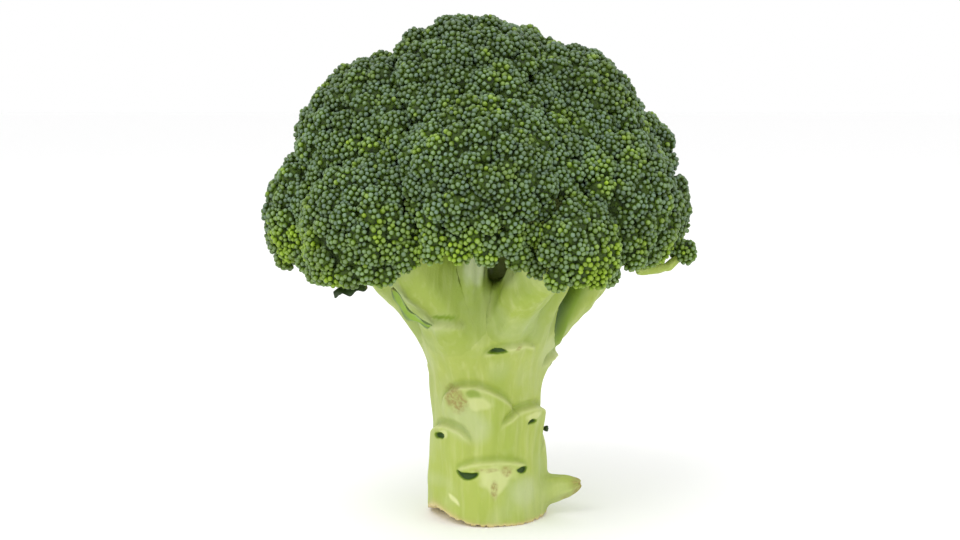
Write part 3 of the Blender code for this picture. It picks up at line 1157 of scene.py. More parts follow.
@dataclass
class GapClusters(Clusters):
    """Small clusters a little way down in the gaps between the heads."""

    taken: Array = field(default_factory=lambda: np.zeros((0, 3)))
    taken_radii: Array = field(default_factory=lambda: np.zeros(0))
    half_sizes: Array = field(default_factory=lambda: np.ones(3))
    levels: tuple[float, ...] = (0.925, 0.87)
    lowest: float = 0.001
    clearance: float = 0.0010
    candidates: int = 9000
    descent: float = 1.25

    def __post_init__(self) -> None:
        """Fills the gaps level by level, the outermost first.

        Each level is the crown's own egg shape, drawn in by that share. Its places are a spiral of
        golden angles from the top down, as far down as the descent, where 2 is the whole way.
        """
        index = np.arange(self.candidates) + 0.5
        rise = 1 - index * self.descent / self.candidates
        side = np.sqrt(1 - rise**2)
        turn = index * GOLDEN_ANGLE
        directions = np.stack([side * np.cos(turn), side * np.sin(turn), rise], axis=-1)
        centres, radii = self.taken, self.taken_radii
        tops, facing = np.zeros((0, 3)), np.zeros((0, 3))
        for level in self.levels:
            places = self.crown_centre + directions * self.half_sizes * level
            places = places[places[:, 2] > self.crown_centre[2] + self.lowest]
            away = separation(places, centres) - radii
            places = places[away.min(axis=1) > self.clearance]
            if len(places) == 0:
                continue
            chosen = places[spread_out(places, self.sizes.spacing)]
            outward = unit(chosen - self.crown_centre)
            tops, facing = np.concatenate([tops, chosen]), np.concatenate([facing, outward])
            sunk = chosen - outward * self.sizes.radius
            centres = np.concatenate([centres, sunk])
            radii = np.append(radii, np.full(len(sunk), self.sizes.radius))
        self.seat(tops, facing)


@dataclass
class Crown:
    """The whole crown of bud heads."""

    sizes: BudSizes
    names: list[str]
    heads: list[BudHead] = field(default_factory=list)
    gaps: GapClusters = field(init=False)
    middle_height: float = 0.0125
    reach: float = 0.07
    gap_parts: int = 3

    def build(self) -> None:
        """Lays out the clusters of every head and of the gaps."""
        boxes = [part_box(name) for name in self.names]
        low = np.min([np.array(box[0]) for box in boxes], axis=0)
        high = np.max([np.array(box[1]) for box in boxes], axis=0)
        centre = np.append((low + high)[:2] / 2, low[2] + self.middle_height)
        self.heads = [
            BudHead(self.sizes, centre, 100 * (i + 1), name) for i, name in enumerate(self.names)
        ]
        self.gaps = GapClusters(
            self.sizes,
            centre,
            31,
            *gathered(self.heads),
            np.append((high - low)[:2] / 2, high[2] - centre[2]),
        )

    def dress(self, buds: bpy.types.Material, core: bpy.types.Material) -> None:
        """Makes the pieces of every head and of the gaps.

        Args:
            buds: the buds' finish.
            core: the finish of the mass behind them, its dark green painted shade.
        """
        groups: list[Clusters] = [*self.heads, self.gaps]
        for head in self.heads:
            centres, radii = gathered([group for group in groups if group is not head])
            near = np.linalg.norm(centres - head.centre, axis=1) < self.reach
            (skin,) = head.buds(centres[near], radii[near])
            piece = skin.to_object(f"{head.name}_buds", buds, Slot.BUDS)
            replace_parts(piece, head.name)
            skin = joined([head.core(), head.balls()])
            skin.to_object(f"{head.name}_core", core, Slot.BUDS)
        gaps = self.gaps.buds(self.gaps.taken, self.gaps.taken_radii, self.gap_parts)
        for number, skin in enumerate(gaps):
            skin.to_object(f"gap_buds_{number + 1}", buds, Slot.BUDS)
        self.gaps.balls().to_object("gap_core", core, Slot.BUDS)


# ---------------------------------------------------------------- the stalk and stems


@dataclass
class StemLine:
    """The middle line and thickness of a CAD stem, found by slicing its solid."""

    name: str
    centres: Array
    radii: Array
    blend: float = 0.0045
    flare: float = 0.016

    def rooted(
        self, stalk_radius: float, below: float = 0.013, deep: float = 0.0075, share: float = 0.42
    ) -> "StemLine":
        """The same line with a new root: it runs up just inside the stalk's skin, then bends out.

        The root is a cubic curve that starts upright and meets the line at a share of its length.

        Args:
            stalk_radius: the stalk's radius where the stem leaves.
            below: how far under the CAD stem's lowest point the root starts.
            deep: how far inside the stalk's skin it starts.
            share: where along the line the curve ends.

        Returns:
            The new line.
        """
        low = np.array(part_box(self.name)[0])[2]
        join = int(share * len(self.centres))
        meet, radius = self.centres[join], float(self.radii[join])
        along = unit(self.centres[join + 1] - meet)
        outward = unit(meet * LEVEL)
        start = outward * (stalk_radius - radius - deep) + UP * (low - below)
        length = float(np.linalg.norm(meet - start))
        curve = bezier(start, start + UP * length * 0.45, meet - along * length * 0.4, meet, 9)
        radii = np.linspace(0.80, 1.0, 9) * radius
        centres = np.concatenate([curve[:-1], self.centres[join:]])
        return StemLine(self.name, centres, np.concatenate([radii[:-1], self.radii[join:]]))

    def finger(self, count: int, droop: float, shorter: float) -> "StemLine":
        """The same line as a blunt finger, with its last part drawn in as an ellipse does.

        Args:
            count: how many places along it.
            droop: how far its tip comes down.
            shorter: the share of its length that goes.

        Returns:
            The new line.
        """
        reach, known = np.linspace(0, 1, count), np.linspace(0, 1, len(self.radii))
        centres = [np.interp(reach, known, self.centres[:, axis]) for axis in range(3)]
        centres = np.stack(centres, axis=-1)
        centres = centres - (shorter * (centres - centres[0]) + UP * droop) * reach[:, None]
        tip_from, tip_length, thicker, taper, flare = 0.66, 0.34, 1.45, 0.15, 0.0022
        tip = np.clip((reach - tip_from) / tip_length, 0, 0.98)
        radii = np.interp(reach, known, self.radii) * (thicker - taper * reach)
        return replace(self, centres=centres, radii=radii * np.sqrt(1 - tip**2), flare=flare)

    def bent(self, middle: float, top: float, thicker: float) -> "StemLine":
        """The same line moved along X, and thickened from its root up.

        Args:
            middle: how far its middle moves.
            top: how far its top moves.
            thicker: how many times as thick its upper half is.

        Returns:
            The new line.
        """
        reach = np.linspace(0, 1, len(self.radii))
        move = middle * 4 * reach * (1 - reach) + top * reach
        centres = self.centres + move[:, None] * bearing(0)
        radii = self.radii * (1 + (thicker - 1) * smoothstep(reach / 0.5))
        return replace(self, centres=centres, radii=radii)

    @classmethod
    def read(cls, name: str, slices: int = 9, root: float = -0.42) -> "StemLine":
        """Slices the solid square to its length, and smooths the slices' middles into a curve.

        A slice's area and middle are sums of the triangles that its crossing makes with a corner.

        Args:
            name: the CAD node.
            slices: how many slices.
            root: how far the line runs on below the first slice, as a share of its length.

        Returns:
            The line, from root to top.
        """
        shape = CadShape.read(name)
        corners = shape.triangles.reshape(-1, 3)
        middle = shape.centroid()
        _, _, axes = np.linalg.svd(corners - middle, full_matrices=False)
        along = axes[0] * (1 if axes[0, 2] > 0 else -1)
        side = unit(np.cross(along, UP if abs(along[2]) < 0.95 else bearing(0)))
        other = np.cross(along, side)
        basis = np.stack([side, other, along])
        local = (shape.triangles - middle) @ basis.T
        low, high = local[..., 2].min(), local[..., 2].max()
        levels = low + (high - low) * np.linspace(*SLICED, slices)
        found = [cls.slice(local, level) for level in levels]
        places = np.array([item[:2] for item in found])
        areas = np.array([item[2] for item in found])
        weights = np.sqrt(np.clip(areas / np.median(areas), 0.05, 1.0))
        share = (levels - levels[0]) / (levels[-1] - levels[0])
        fits = [np.polyfit(share, places[:, axis], 2, w=weights) for axis in range(2)]
        size = np.polyfit(share, np.sqrt(areas / math.pi), 1, w=weights)
        reach = np.linspace(root, 1.04, slices + 5)
        height = levels[0] + reach * (levels[-1] - levels[0])
        line = np.stack([np.polyval(fits[0], reach), np.polyval(fits[1], reach), height], axis=-1)
        radii = np.maximum(np.polyval(size, reach), 0.002)
        return cls(name, line @ basis + middle, radii)

    @staticmethod
    def slice(triangles: Array, level: float) -> tuple[float, float, float]:
        """The middle and area of a flat slice through triangles.

        Args:
            triangles: (n, 3, 3), with the slice square to their third axis.
            level: where the slice is.

        Returns:
            Both coordinates of the middle, and the area.
        """
        heights = triangles[..., 2] - level
        above = heights > 0
        crossing = triangles[(above.any(axis=1)) & (~above.all(axis=1))]
        heights = crossing[..., 2] - level
        after = np.roll(crossing, -1, axis=1)
        after_height = np.roll(heights, -1, axis=1)
        share = heights / np.where(heights == after_height, 1.0, heights - after_height)
        cut = crossing + share[..., None] * (after - crossing)
        leaving = (heights > 0) & (after_height <= 0)
        entering = (heights <= 0) & (after_height > 0)
        start, end = cut[leaving][:, :2], cut[entering][:, :2]
        if len(start) == 0:
            return 0.0, 0.0, 1e-9
        cross = start[:, 0] * end[:, 1] - start[:, 1] * end[:, 0]
        area = cross.sum() / 2
        middle = ((start + end) * cross[:, None]).sum(axis=0) / (6 * area)
        return float(middle[0]), float(middle[1]), float(abs(area))

    def distance(self, points: Array) -> Array:
        """How far points are from the stem's skin, with minus inside it.

        Args:
            points: (n, 3).

        Returns:
            (n,).
        """
        start, run = self.centres[:-1], np.diff(self.centres, axis=0)
        offset = points[:, None] - start
        share = np.clip((offset * run).sum(axis=-1) / (run * run).sum(axis=-1), 0, 1)
        gap = np.linalg.norm(offset - share[..., None] * run, axis=-1)
        return (gap - self.radii[:-1] - share * np.diff(self.radii)).min(axis=1)


def smooth_least(first: Array, second: Array, width: float) -> Array:
    """The lesser of two distances, rounded off where they are within a width of each other."""
    close = np.clip(1 - np.abs(first - second) / width, 0, 1)
    return np.minimum(first, second) - close * close * width / 4


@dataclass
class Growth:
    """The stalk and the stems as one swelling body, so that their skins run into each other."""

    heights: Array
    profile: Array
    lines: dict[str, StemLine]
    near: float = 0.03
    longest_step: float = 0.004

    def radius(self, z: Array) -> Array:
        """The stalk's own radius at a height."""
        return np.interp(z, self.heights, self.profile)

    def stalk_distance(self, points: Array) -> Array:
        """How far points are from the stalk's own skin."""
        out = np.hypot(points[:, 0], points[:, 1]) - self.radius(points[:, 2])
        return np.maximum(out, points[:, 2] - self.heights[-1])

    def gaps(self, points: Array) -> dict[str, Array]:
        """How far points are from each stem's own tube, or 1 where it is nowhere near.

        Args:
            points: (n, 3).

        Returns:
            A distance for each point, by stem.
        """
        found = {}
        for name, line in self.lines.items():
            low = line.centres.min(axis=0) - self.near
            high = line.centres.max(axis=0) + self.near
            near = ((points > low) & (points < high)).all(axis=1)
            if near.any():
                found[name] = np.full(len(points), AWAY)
                found[name][near] = line.distance(points[near])
        return found

    def distance(self, points: Array) -> Array:
        """How far points are from the whole body's skin.

        The stems run into each other with a tight crease, and all of them into the stalk with a
        wide flare.

        Args:
            points: (n, 3).

        Returns:
            (n,).
        """
        total, gaps = self.stalk_distance(points), self.gaps(points)
        for flare in sorted({line.flare for line in self.lines.values()}):
            group = np.full(len(points), AWAY)
            for name, gap in gaps.items():
                if self.lines[name].flare == flare:
                    group = smooth_least(group, gap, self.lines[name].blend)
            total = smooth_least(total, group, flare)
        return total

    def crease(self, points: Array, own: str) -> Array:
        """How far points of one stem are from the nearest other stem."""
        others = [gap for name, gap in self.gaps(points).items() if name != own]
        return np.min([np.full(len(points), AWAY), *others], axis=0)

    def depth(self, points: Array, own: str) -> Array:
        """How deep points of one tube are inside the nearest other one.

        Args:
            points: (n, 3).
            own: the stem that they are on, or "stalk".

        Returns:
            (n,), with minus outside.
        """
        nearest = self.crease(points, own)
        if own != "stalk":
            nearest = np.minimum(nearest, self.stalk_distance(points))
        return -nearest

    def skin_at(self, azimuth: float, height: float, clear: float) -> Array:
        """The place at a bearing and a height that stands this far clear of the skin.

        Args:
            azimuth: degrees.
            height: metres above the foot.
            clear: metres outward.

        Returns:
            The place.
        """
        places = bearing(azimuth) * np.linspace(0.005, 0.060, 551)[:, None] + UP * height
        outermost = places[np.nonzero(self.distance(places) < 0)[0].max()]
        return outermost + bearing(azimuth) * clear

    @staticmethod
    def swell(points: Array) -> Array:
        """The skin's own unevenness, long along Z, the same for the stalk and every stem.

        Args:
            points: places on the skin, (n, 3).

        Returns:
            Metres outward at each.
        """
        long = points * np.array([1.0, 1.0, 0.22])
        fine = 0.00040 * waves(long, 0.011, 21) + 0.00022 * waves(long, 0.0045, 22)
        return fine + 0.0005 * waves(points, 0.024, 23) - 0.0004

    def settle(self, points: Array, rounds: int = 3) -> tuple[Array, Array]:
        """Moves points onto the body's skin along the slope of the distance.

        Args:
            points: (n, 3).
            rounds: how many times to step.

        Returns:
            The moved points and the outward normals there.
        """
        small = 1e-4
        slope = np.zeros_like(points)
        for _ in range(rounds):
            value = self.distance(points)
            slope = np.stack(
                [(self.distance(points + small * axis) - value) / small for axis in np.eye(3)],
                axis=-1,
            )
            steep = np.maximum((slope * slope).sum(axis=-1), 0.25)
            step = np.clip(value, -self.longest_step, self.longest_step) / steep
            points = points - slope * step[:, None]
        return points, unit(slope)


def tucked(own: Array, moved: Array, normals: Array, depth: Array) -> tuple[Array, Array]:
    """Places a skin on the shared surface, and tucks it away where another skin takes over.

    Past the crossing it first sinks a little, and deeper down it goes back to its own tube.

    Args:
        own: the places on its own tube, (n, 3).
        moved: the same places on the shared surface, (n, 3).
        normals: the shared surface's normals, (n, 3).
        depth: how far inside the other skins each place is, (n,).

    Returns:
        The places, and how far each has gone back to its tube, from 0 to 1.
    """
    sink = SINK * smoothstep((depth - 0.0003) / 0.0014)
    buried = smoothstep((depth - BURIED_FROM) / 0.004)
    share = buried[:, None]
    return (moved - normals * sink[:, None]) * (1 - share) + own * share, buried


def along_skin(azimuths: Array, middle: float, radius: Array) -> Array:
    """How far places are along the skin from a middle azimuth, with minus before it."""
    turn = (azimuths - middle + 180) % 360 - 180
    return np.radians(turn) * radius


@dataclass(frozen=True)
class Mark:
    """A spot on the stalk or a stem: its place, its half sizes along and up the skin, its lean.

    A taper narrows it downwards, a sag bends both its ends up, and its edge is a little frayed.
    """

    kind: str
    azimuth: float
    height: float
    half_width: float
    half_height: float
    lean: float = 0.0
    taper: float = 0.0
    sag: float = 0.0
    strength: float = 1.0
    fray: float = 0.16
    fray_scale: float = 0.0045

    def share(self, azimuths: Array, heights: Array, radius: Array) -> Array:
        """1 in the middle of the spot, easing to 0 at its edge.

        Args:
            azimuths: degrees.
            heights: metres.
            radius: the stalk's radius there.

        Returns:
            The share at each place.
        """
        along = along_skin(azimuths, self.azimuth, radius)
        up = heights - self.height - along * self.lean
        up = up - self.sag * (along / self.half_width) ** 2
        narrow = np.clip(1 + self.taper * up / self.half_height, 0.12, 2.0)
        away = np.hypot(along / (self.half_width * narrow), up / self.half_height)
        skin = np.stack([along, up, np.full_like(up, self.azimuth)], axis=-1)
        fray = waves(skin, self.fray_scale, 41) * self.fray
        return self.strength * smoothstep((1.2 + fray - away) / 0.6)


@dataclass(frozen=True)
class LeafScar:
    """Where a leaf broke off: an arched edge with a shield under it that sinks back downwards."""

    azimuth: float
    crest: float
    half_width: float
    drop: float
    step: float
    fade: float
    lean: float = 0.0

    def relief(
        self, azimuths: Array, heights: Array, radius: Array
    ) -> tuple[Array, Array, Array]:
        """The height of the skin, and how much of it is the pale broken edge or the green line.

        The arch is half an ellipse, leaning. Under it the skin stands out by the step and falls
        away as a bell curve; just over it runs a shallow groove.

        Args:
            azimuths: degrees.
            heights: metres.
            radius: the stalk's radius there.

        Returns:
            Metres outward, and two shares from 0 to 1.
        """
        along = along_skin(azimuths, self.azimuth, radius)
        across = np.clip(np.abs(along) / self.half_width, 0, 1)
        arch = self.crest - self.drop * (1 - np.sqrt(1 - across**2)) + self.lean * along
        under = arch - heights
        side = smoothstep((1 - across) / 0.30)
        fading = bell(np.maximum(under, 0) / self.fade)
        shield = smoothstep((under + 0.0004) / 0.0013) * fading
        groove = bell((under + 0.0013) / 0.0010)
        edge = bell((under - 0.0007) / 0.0008) * side
        line = bell((under + 0.0009) / 0.0009) * smoothstep((1.0 - across) / 0.12)
        return side * (self.step * shield - 0.35 * self.step * groove), edge, line


# Each stem's painted deep-green shade in its creases, and how its middle and top move along X
# and how many times as thick it gets.
CREASE_SHADE = {"stem_right": 0.80, "stem_left": 0.16, "stem_back_right": 0.34}
CREASE_SHADE_ELSEWHERE = 0.13
STEM_BENDS = {
    "stem_front_left": (0.0030, 0.0030, 1.22),
    "stem_front_centre": (-0.0020, -0.0025, 0.72),
    "stem_front_low": (-0.0026, -0.0012, 1.24),
    "stem_front_right": (-0.0060, 0.0, 1.0),
    "stem_right": (0.0045, 0.0030, 1.0),
}

# Azimuth, crest, half width, drop at the sides, step, fade and lean of each scar.
STALK_SCARS = (
    LeafScar(258, 0.0512, 0.0165, 0.0150, 0.0016, 0.016, -0.10),
    LeafScar(317, 0.0425, 0.0125, 0.0085, 0.0023, 0.013, 0.05),
    LeafScar(222, 0.0360, 0.0120, 0.0100, 0.0021, 0.013, 0.06),
    LeafScar(276, 0.0240, 0.0145, 0.0050, 0.0013, 0.012, 0.02),
    LeafScar(291, 0.0660, 0.0110, 0.0035, 0.0012, 0.010, 0.10),
    LeafScar(243, 0.0748, 0.0062, 0.0016, 0.0014, 0.008, 0.06),
    LeafScar(20, 0.0300, 0.0140, 0.0100, 0.0015, 0.014, -0.05),
    LeafScar(75, 0.0500, 0.0150, 0.0120, 0.0016, 0.015, 0.08),
    LeafScar(112, 0.0270, 0.0145, 0.0100, 0.0015, 0.013, 0.02),
    LeafScar(146, 0.0580, 0.0110, 0.0080, 0.0014, 0.014, -0.06),
    LeafScar(355, 0.0605, 0.0080, 0.0060, 0.0022, 0.007, 0.04),
)

# Kind, azimuth, height, half width, half height and lean of each spot.
STALK_MARKS = (
    Mark("brown", 237, 0.0462, 0.0052, 0.0048, -0.3, strength=0.9),
    Mark("slit", 257, 0.0487, 0.0026, 0.0016, sag=-0.0003, strength=0.22),
    Mark("pale", 262, 0.0450, 0.0046, 0.0026, strength=0.55),
    Mark("slit", 318, 0.0372, 0.0020, 0.0008, 0.12, sag=-0.0003),
    Mark("pale", 320, 0.0392, 0.0040, 0.0016, 0.1, strength=0.6),
    Mark("slit", 217, 0.0316, 0.0026, 0.0012, 0.1),
    Mark("pale", 224, 0.0325, 0.0022, 0.0018, 0.1, strength=0.6),
    Mark("slit", 250.5, 0.0186, 0.0039, 0.0014, -0.05, sag=0.0008),
    Mark("slit", 306, 0.0200, 0.0029, 0.0012, 0.05, sag=0.0006),
    Mark("slit", 243, 0.0768, 0.0056, 0.0012, 0.06, strength=0.34),
    Mark("pale", 236, 0.0078, 0.0026, 0.0013, -0.5),
    Mark("wax", 262, 0.0960, 0.0045, 0.0085),
    Mark("pale", 278, 0.0166, 0.0062, 0.0068, taper=0.9, strength=0.6),
    Mark("brown", 289, 0.0202, 0.0024, 0.0020, strength=0.8),
    Mark("brown", 270, 0.0208, 0.0046, 0.0007, strength=0.6),
    Mark("brown", 277, 0.0135, 0.0014, 0.0040, strength=0.8),
    Mark("slit", 279, 0.0644, 0.0036, 0.0008, 0.08, sag=-0.0003, strength=0.8),
    Mark("brown", 296, 0.0652, 0.0012, 0.0006, 0.3),
    Mark("slit", 22, 0.0262, 0.0030, 0.0010, 0.1),
    Mark("brown", 14, 0.0275, 0.0030, 0.0016, 0.1, strength=0.8),
    Mark("brown", 68, 0.0450, 0.0034, 0.0028, 0.2, strength=0.8),
    Mark("slit", 103, 0.0232, 0.0032, 0.0010, sag=0.0005),
    Mark("brown", 150, 0.0540, 0.0028, 0.0024, strength=0.8),
    Mark("slit", 350, 0.0575, 0.0030, 0.0012, 0.1),
)


def scarred(points: Array) -> tuple[Array, dict[str, Array]]:
    """What the scars, slits and spots do to the skin at each place, on the stalk or on a stem.

    Args:
        points: places on the skin, (n, 3).

    Returns:
        Metres outward, and the shares that colour the skin, by name.
    """
    azimuths = np.degrees(np.arctan2(points[:, 1], points[:, 0]))
    heights, radius = points[:, 2], np.hypot(points[:, 0], points[:, 1])
    relief = np.zeros(len(points))
    values = {key: np.zeros(len(points)) for key in SKIN_VALUES}
    for scar in STALK_SCARS:
        rise, edge, line = scar.relief(azimuths, heights, radius)
        relief = relief + rise
        values["pale"] = np.maximum(values["pale"], edge * EDGE_PALE)
        values["slit"] = np.maximum(values["slit"], line * LINE_GREEN)
    for mark in STALK_MARKS:
        share = mark.share(azimuths, heights, radius)
        values[mark.kind] = np.maximum(values[mark.kind], share)
    bloom = smoothstep(waves(points, 0.03, 26) - 0.25) * BLOOM
    values["wax"] = np.maximum(values["wax"], bloom)
    hole = smoothstep((values["slit"] - 0.2) / 0.8)
    return relief - HOLE_DEPTH * hole - 0.0003 * values["brown"], values


@dataclass
class Stalk:
    """The thick stalk: its skin over a turned grid of azimuth and height.

    Its foot is cut higher on one side, at the azimuth high_side.
    """

    growth: Growth
    rows: int = 240
    columns: int = 340
    branching_from: float = 0.048
    flare_reach: float = 0.018
    high_side: float = 212.0
    high_spread: float = 30.0
    high_rise: float = 0.0044
    high_reach: float = 0.020

    def build(self) -> Skin:
        """Works out the skin, its relief and what colours it.

        Returns:
            A closed skin.
        """
        height = self.growth.heights[-1]
        z = np.linspace(0, height - 0.001, self.rows)[:, None] * np.ones((1, self.columns))
        turn = turns_round(self.columns)[None, :] * np.ones((self.rows, 1))
        radius = self.growth.radius(z)
        rings = np.stack([radius * np.cos(turn), radius * np.sin(turn), z], axis=-1)
        flat = rings.reshape(-1, 3)
        covered = self.growth.depth(flat, "stalk")
        reached = (flat[:, 2] > self.branching_from) | (covered > -self.flare_reach)
        normals = unit(flat * LEVEL)
        moved, slopes = self.growth.settle(flat[reached])
        flat[reached], _ = tucked(flat[reached], moved, slopes, covered[reached])
        normals[reached] = slopes
        azimuths = np.degrees(turn).ravel()
        z = z.ravel()
        relief, values = scarred(flat)
        relief = relief + Growth.swell(flat)
        foot = np.exp(-z / 0.0012)
        high = bell((azimuths - self.high_side) / self.high_spread)
        ragged = 0.0008 * waves(flat, 0.005, 24) + 0.0005 * waves(flat, 0.0017, 25)
        points = flat + normals * (relief * (1 - 0.7 * foot) - 0.0006 * foot)[:, None]
        raised = self.high_rise * high * smoothstep((self.high_reach - z) / self.high_reach)
        points[:, 2] = np.maximum(points[:, 2] + foot * np.abs(ragged) + raised, 0)
        edge = np.exp(-z / (0.0008 + 0.0010 * high))
        values["brown"] = np.maximum(values["brown"], 0.75 * edge)
        values["cut"] = smoothstep(edge * 1.3)
        poles = np.array([[0, 0, 0.0], [0, 0, height]])
        points = np.concatenate([points, poles])
        values = {key: np.append(value, [0.0, 0.0]) for key, value in values.items()}
        values["cut"][-2] = 1.0
        return Skin(points, tube_faces(self.rows, self.columns), values)


@dataclass
class Stem:
    """One stem, from the stalk to its bud head."""

    line: StemLine
    growth: Growth
    seed: int
    rows: int = 70
    columns: int = 56
    dry_tip: float = 0.0
    # How strong the painted deep-green shade is near the crease with the next stem, and how far from
    # it it reaches.
    green: float = 0.0
    crease_shade_reach: float = 0.015
    flute: float = 0.0004

    def rings(self) -> Array:
        """Rings along the stem's line, from where it comes out of the stalk to its top.

        Returns:
            (rows, columns, 3).
        """
        line = self.line
        emerging = self.growth.stalk_distance(line.centres) + line.radii + 0.004 > 0
        start = max(int(np.argmax(emerging)) - 1, 0)
        known = np.linspace(0, 1, len(line.centres))
        share = np.linspace(known[start], 1, self.rows)
        centres = np.stack([np.interp(share, known, line.centres[:, i]) for i in range(3)], axis=-1)
        radii = np.interp(share, known, line.radii)[:, None]
        return swept(centres, radii, bearing(self.seed * 37.0), self.columns)

    def build(self) -> Skin:
        """Lays the stem's rings on the shared skin, and flutes them.

        It is painted with deep-green shade towards the crease with the next stem, and dries at its
        tip and under it.

        Returns:
            A closed skin.
        """
        name, flat = self.line.name, self.rings().reshape(-1, 3)
        depth = self.growth.depth(flat, name)
        moved, normals = self.growth.settle(flat)
        flat, buried = tucked(flat, moved, normals, depth)
        turn = turns_round(self.columns)
        along = np.linspace(0, 1, self.rows)[:, None]
        flute = 0.5 * np.cos(5 * turn + self.seed)
        flute = flute + 0.5 * np.cos(8 * turn + 2 * self.seed + 2 * along)
        clear = smoothstep((-depth - 0.001) / 0.006)
        flute = flute.ravel() * clear * self.flute
        # Painted shade: deep green near the crease with the next stem, none where the stem meets the
        # stalk.
        near = smoothstep((self.crease_shade_reach - self.growth.crease(flat, name)) / 0.014)
        near = near * smoothstep(self.growth.stalk_distance(flat) / 0.006)
        scars, values = scarred(flat)
        values["slit"] = np.maximum(values["slit"], self.green * near)
        relief = flute + scars + Growth.swell(flat)
        points = flat + normals * (relief * (1 - buried))[:, None]
        points = capped(points.reshape(self.rows, self.columns, 3))
        values = {key: np.append(value, [0.0, 0.0]) for key, value in values.items()}
        reach = np.concatenate([np.repeat(along[:, 0], self.columns), [0.0, 1.0]])
        under = np.append(smoothstep(-normals[:, 2] - 0.1), [0.0, 1.0])
        dry = smoothstep((reach - 0.78) / 0.2) + under * smoothstep((reach - 0.5) / 0.2)
        values["brown"] = np.maximum(values["brown"], self.dry_tip * np.minimum(dry, 1))
        return Skin(points, tube_faces(self.rows, self.columns), values)


@dataclass
class Twigs:
    """The little branches under one head, from its stem's top to its lowest clusters."""

    head: BudHead
    line: StemLine
    radius: float = 0.0013
    band: float = 0.010
    rows: int = 9
    columns: int = 8

    def build(self) -> Skin | None:
        """Carries a narrowing, bending ring from the stem's top to each low cluster.

        Returns:
            All the twigs as one skin, or nothing where no cluster hangs low enough.
        """
        low = self.head.centres[:, 2] < self.head.crown_centre[2] + self.band
        targets, facing = self.head.centres[low], self.head.facing[low]
        if len(targets) == 0:
            return None
        top, before = self.line.centres[-4], self.line.centres[-6]
        along = unit(top - before)
        skins = []
        for number, (target, outward) in enumerate(zip(targets, facing)):
            length = float(np.linalg.norm(target - top))
            leaving, arriving = top + along * 0.25 * length, target - outward * 0.3 * length
            path = bezier(before, leaving, arriving, target, self.rows)
            radii = self.radius * np.linspace(1.9, 0.8, self.rows)[:, None]
            turn = turns_round(self.columns)
            radii = radii * (1 + 0.08 * np.cos(3 * turn + number))
            rings = swept(path, radii, bearing(37.0 * number), self.columns)
            skins.append(Skin(capped(rings), tube_faces(self.rows, self.columns)))
        skin = joined(skins)
        none = np.zeros(len(skin.points))
        skin.values = {key: none for key in SKIN_VALUES}
        return skin


@dataclass(frozen=True)
class Blade:
    """A small curled leaf on the long, wide and thin directions of its CAD solid.

    Given a foot and a tip, it lies between them instead, and opens outwards.
    """

    name: str
    curl: float
    bow: float
    shift: tuple[float, float, float] = (0.0, 0.0, 0.0)
    ends: tuple[Array, Array] | None = None
    width: float = 1.0
    crinkle: float = 0.0006
    thickness: float = 0.0006
    rows: int = 40
    half_columns: int = 18

    def seat(self) -> tuple[Array, Array, Array, Array]:
        """Finds where the leaf lies, from its CAD solid and its ends.

        Returns:
            Its middle, its three directions, and its least and greatest reach along each.
        """
        shape = CadShape.read(self.name)
        middle = shape.centroid()
        corners = shape.triangles.reshape(-1, 3) - middle
        _, _, axes = np.linalg.svd(corners, full_matrices=False)
        axes[0] *= 1 if axes[0, 2] >= 0 else -1
        axes[2] *= 1 if axes[2] @ unit(middle * LEVEL) >= 0 else -1
        axes[1] = np.cross(axes[2], axes[0])
        local = corners @ axes.T
        low, high = local.min(axis=0), local.max(axis=0)
        if self.ends is not None:
            foot, tip = self.ends
            middle = (foot + tip) / 2
            run = float(np.linalg.norm(tip - foot))
            axes[0] = (tip - foot) / run
            axes[1] = unit(np.cross(axes[0], middle * LEVEL))
            axes[2] = np.cross(axes[0], axes[1])
            low[0], high[0] = -run / 2, run / 2
        return middle, axes, low, high

    def build(self) -> Skin:
        """Carries a curled section along the leaf.

        At t along it, the half width is the leaf's own times sin(pi t) to the 0.6, and the section
        is part of a circle, outside and back inside, with a crinkled edge.

        Returns:
            A closed skin, with "pale" on its inner side, away from the edges.
        """
        middle, axes, low, high = self.seat()
        t = np.linspace(0.02, 0.98, self.rows)[:, None]
        there = np.linspace(-1, 1, self.half_columns)
        s = np.concatenate([there, there[::-1]])[None, :]
        side = np.concatenate([np.ones(self.half_columns), -np.ones(self.half_columns)])[None, :]
        half = self.width * (high[1] - low[1]) / 2 * np.sin(math.pi * (0.06 + 0.9 * t)) ** 0.6
        angle = s * self.curl
        x = half * np.sin(angle) / math.sin(min(self.curl, math.pi / 2))
        y = half * (1 - np.cos(angle)) * -1
        wavy = self.crinkle * s**2 * np.sin(15 * t + 2 * s) + 0.4 * self.crinkle * np.sin(9 * t)
        wall = side * self.thickness / 2 * np.sqrt(np.clip(1.02 - s**2, 0, 1))
        lift = y + wavy + wall + self.bow * np.sin(math.pi * t)
        long = low[0] + t * (high[0] - low[0])
        rings = np.stack([long + 0 * s, x, lift + 0 * s], axis=-1) @ axes
        rings = rings + middle + np.array(self.shift)
        pale = (side < 0) * smoothstep((0.80 - np.abs(s)) / 0.25) + 0 * t
        brown = smoothstep((t - 0.9) / 0.1) * 0.5 + 0 * s
        pale, brown = (np.append(value.ravel(), [0.0, 0.0]) for value in (pale, brown))
        faces = tube_faces(self.rows, 2 * self.half_columns)
        skin = Skin(capped(rings), faces, {"pale": pale, "brown": brown})
        return skin.facing_out()


CROTCH_LEAF = Blade("crotch_leaf", curl=1.15, bow=-0.0022, width=0.75)
CROTCH_LEAF_FOOT = (234, 0.0735, 0.0006)
CROTCH_LEAF_TIP = (227, 0.0885, 0.0022)
RIM_LEAF = Blade("rim_leaf", curl=1.3, bow=0.0016, shift=(0.002, 0.0, 0.0018))


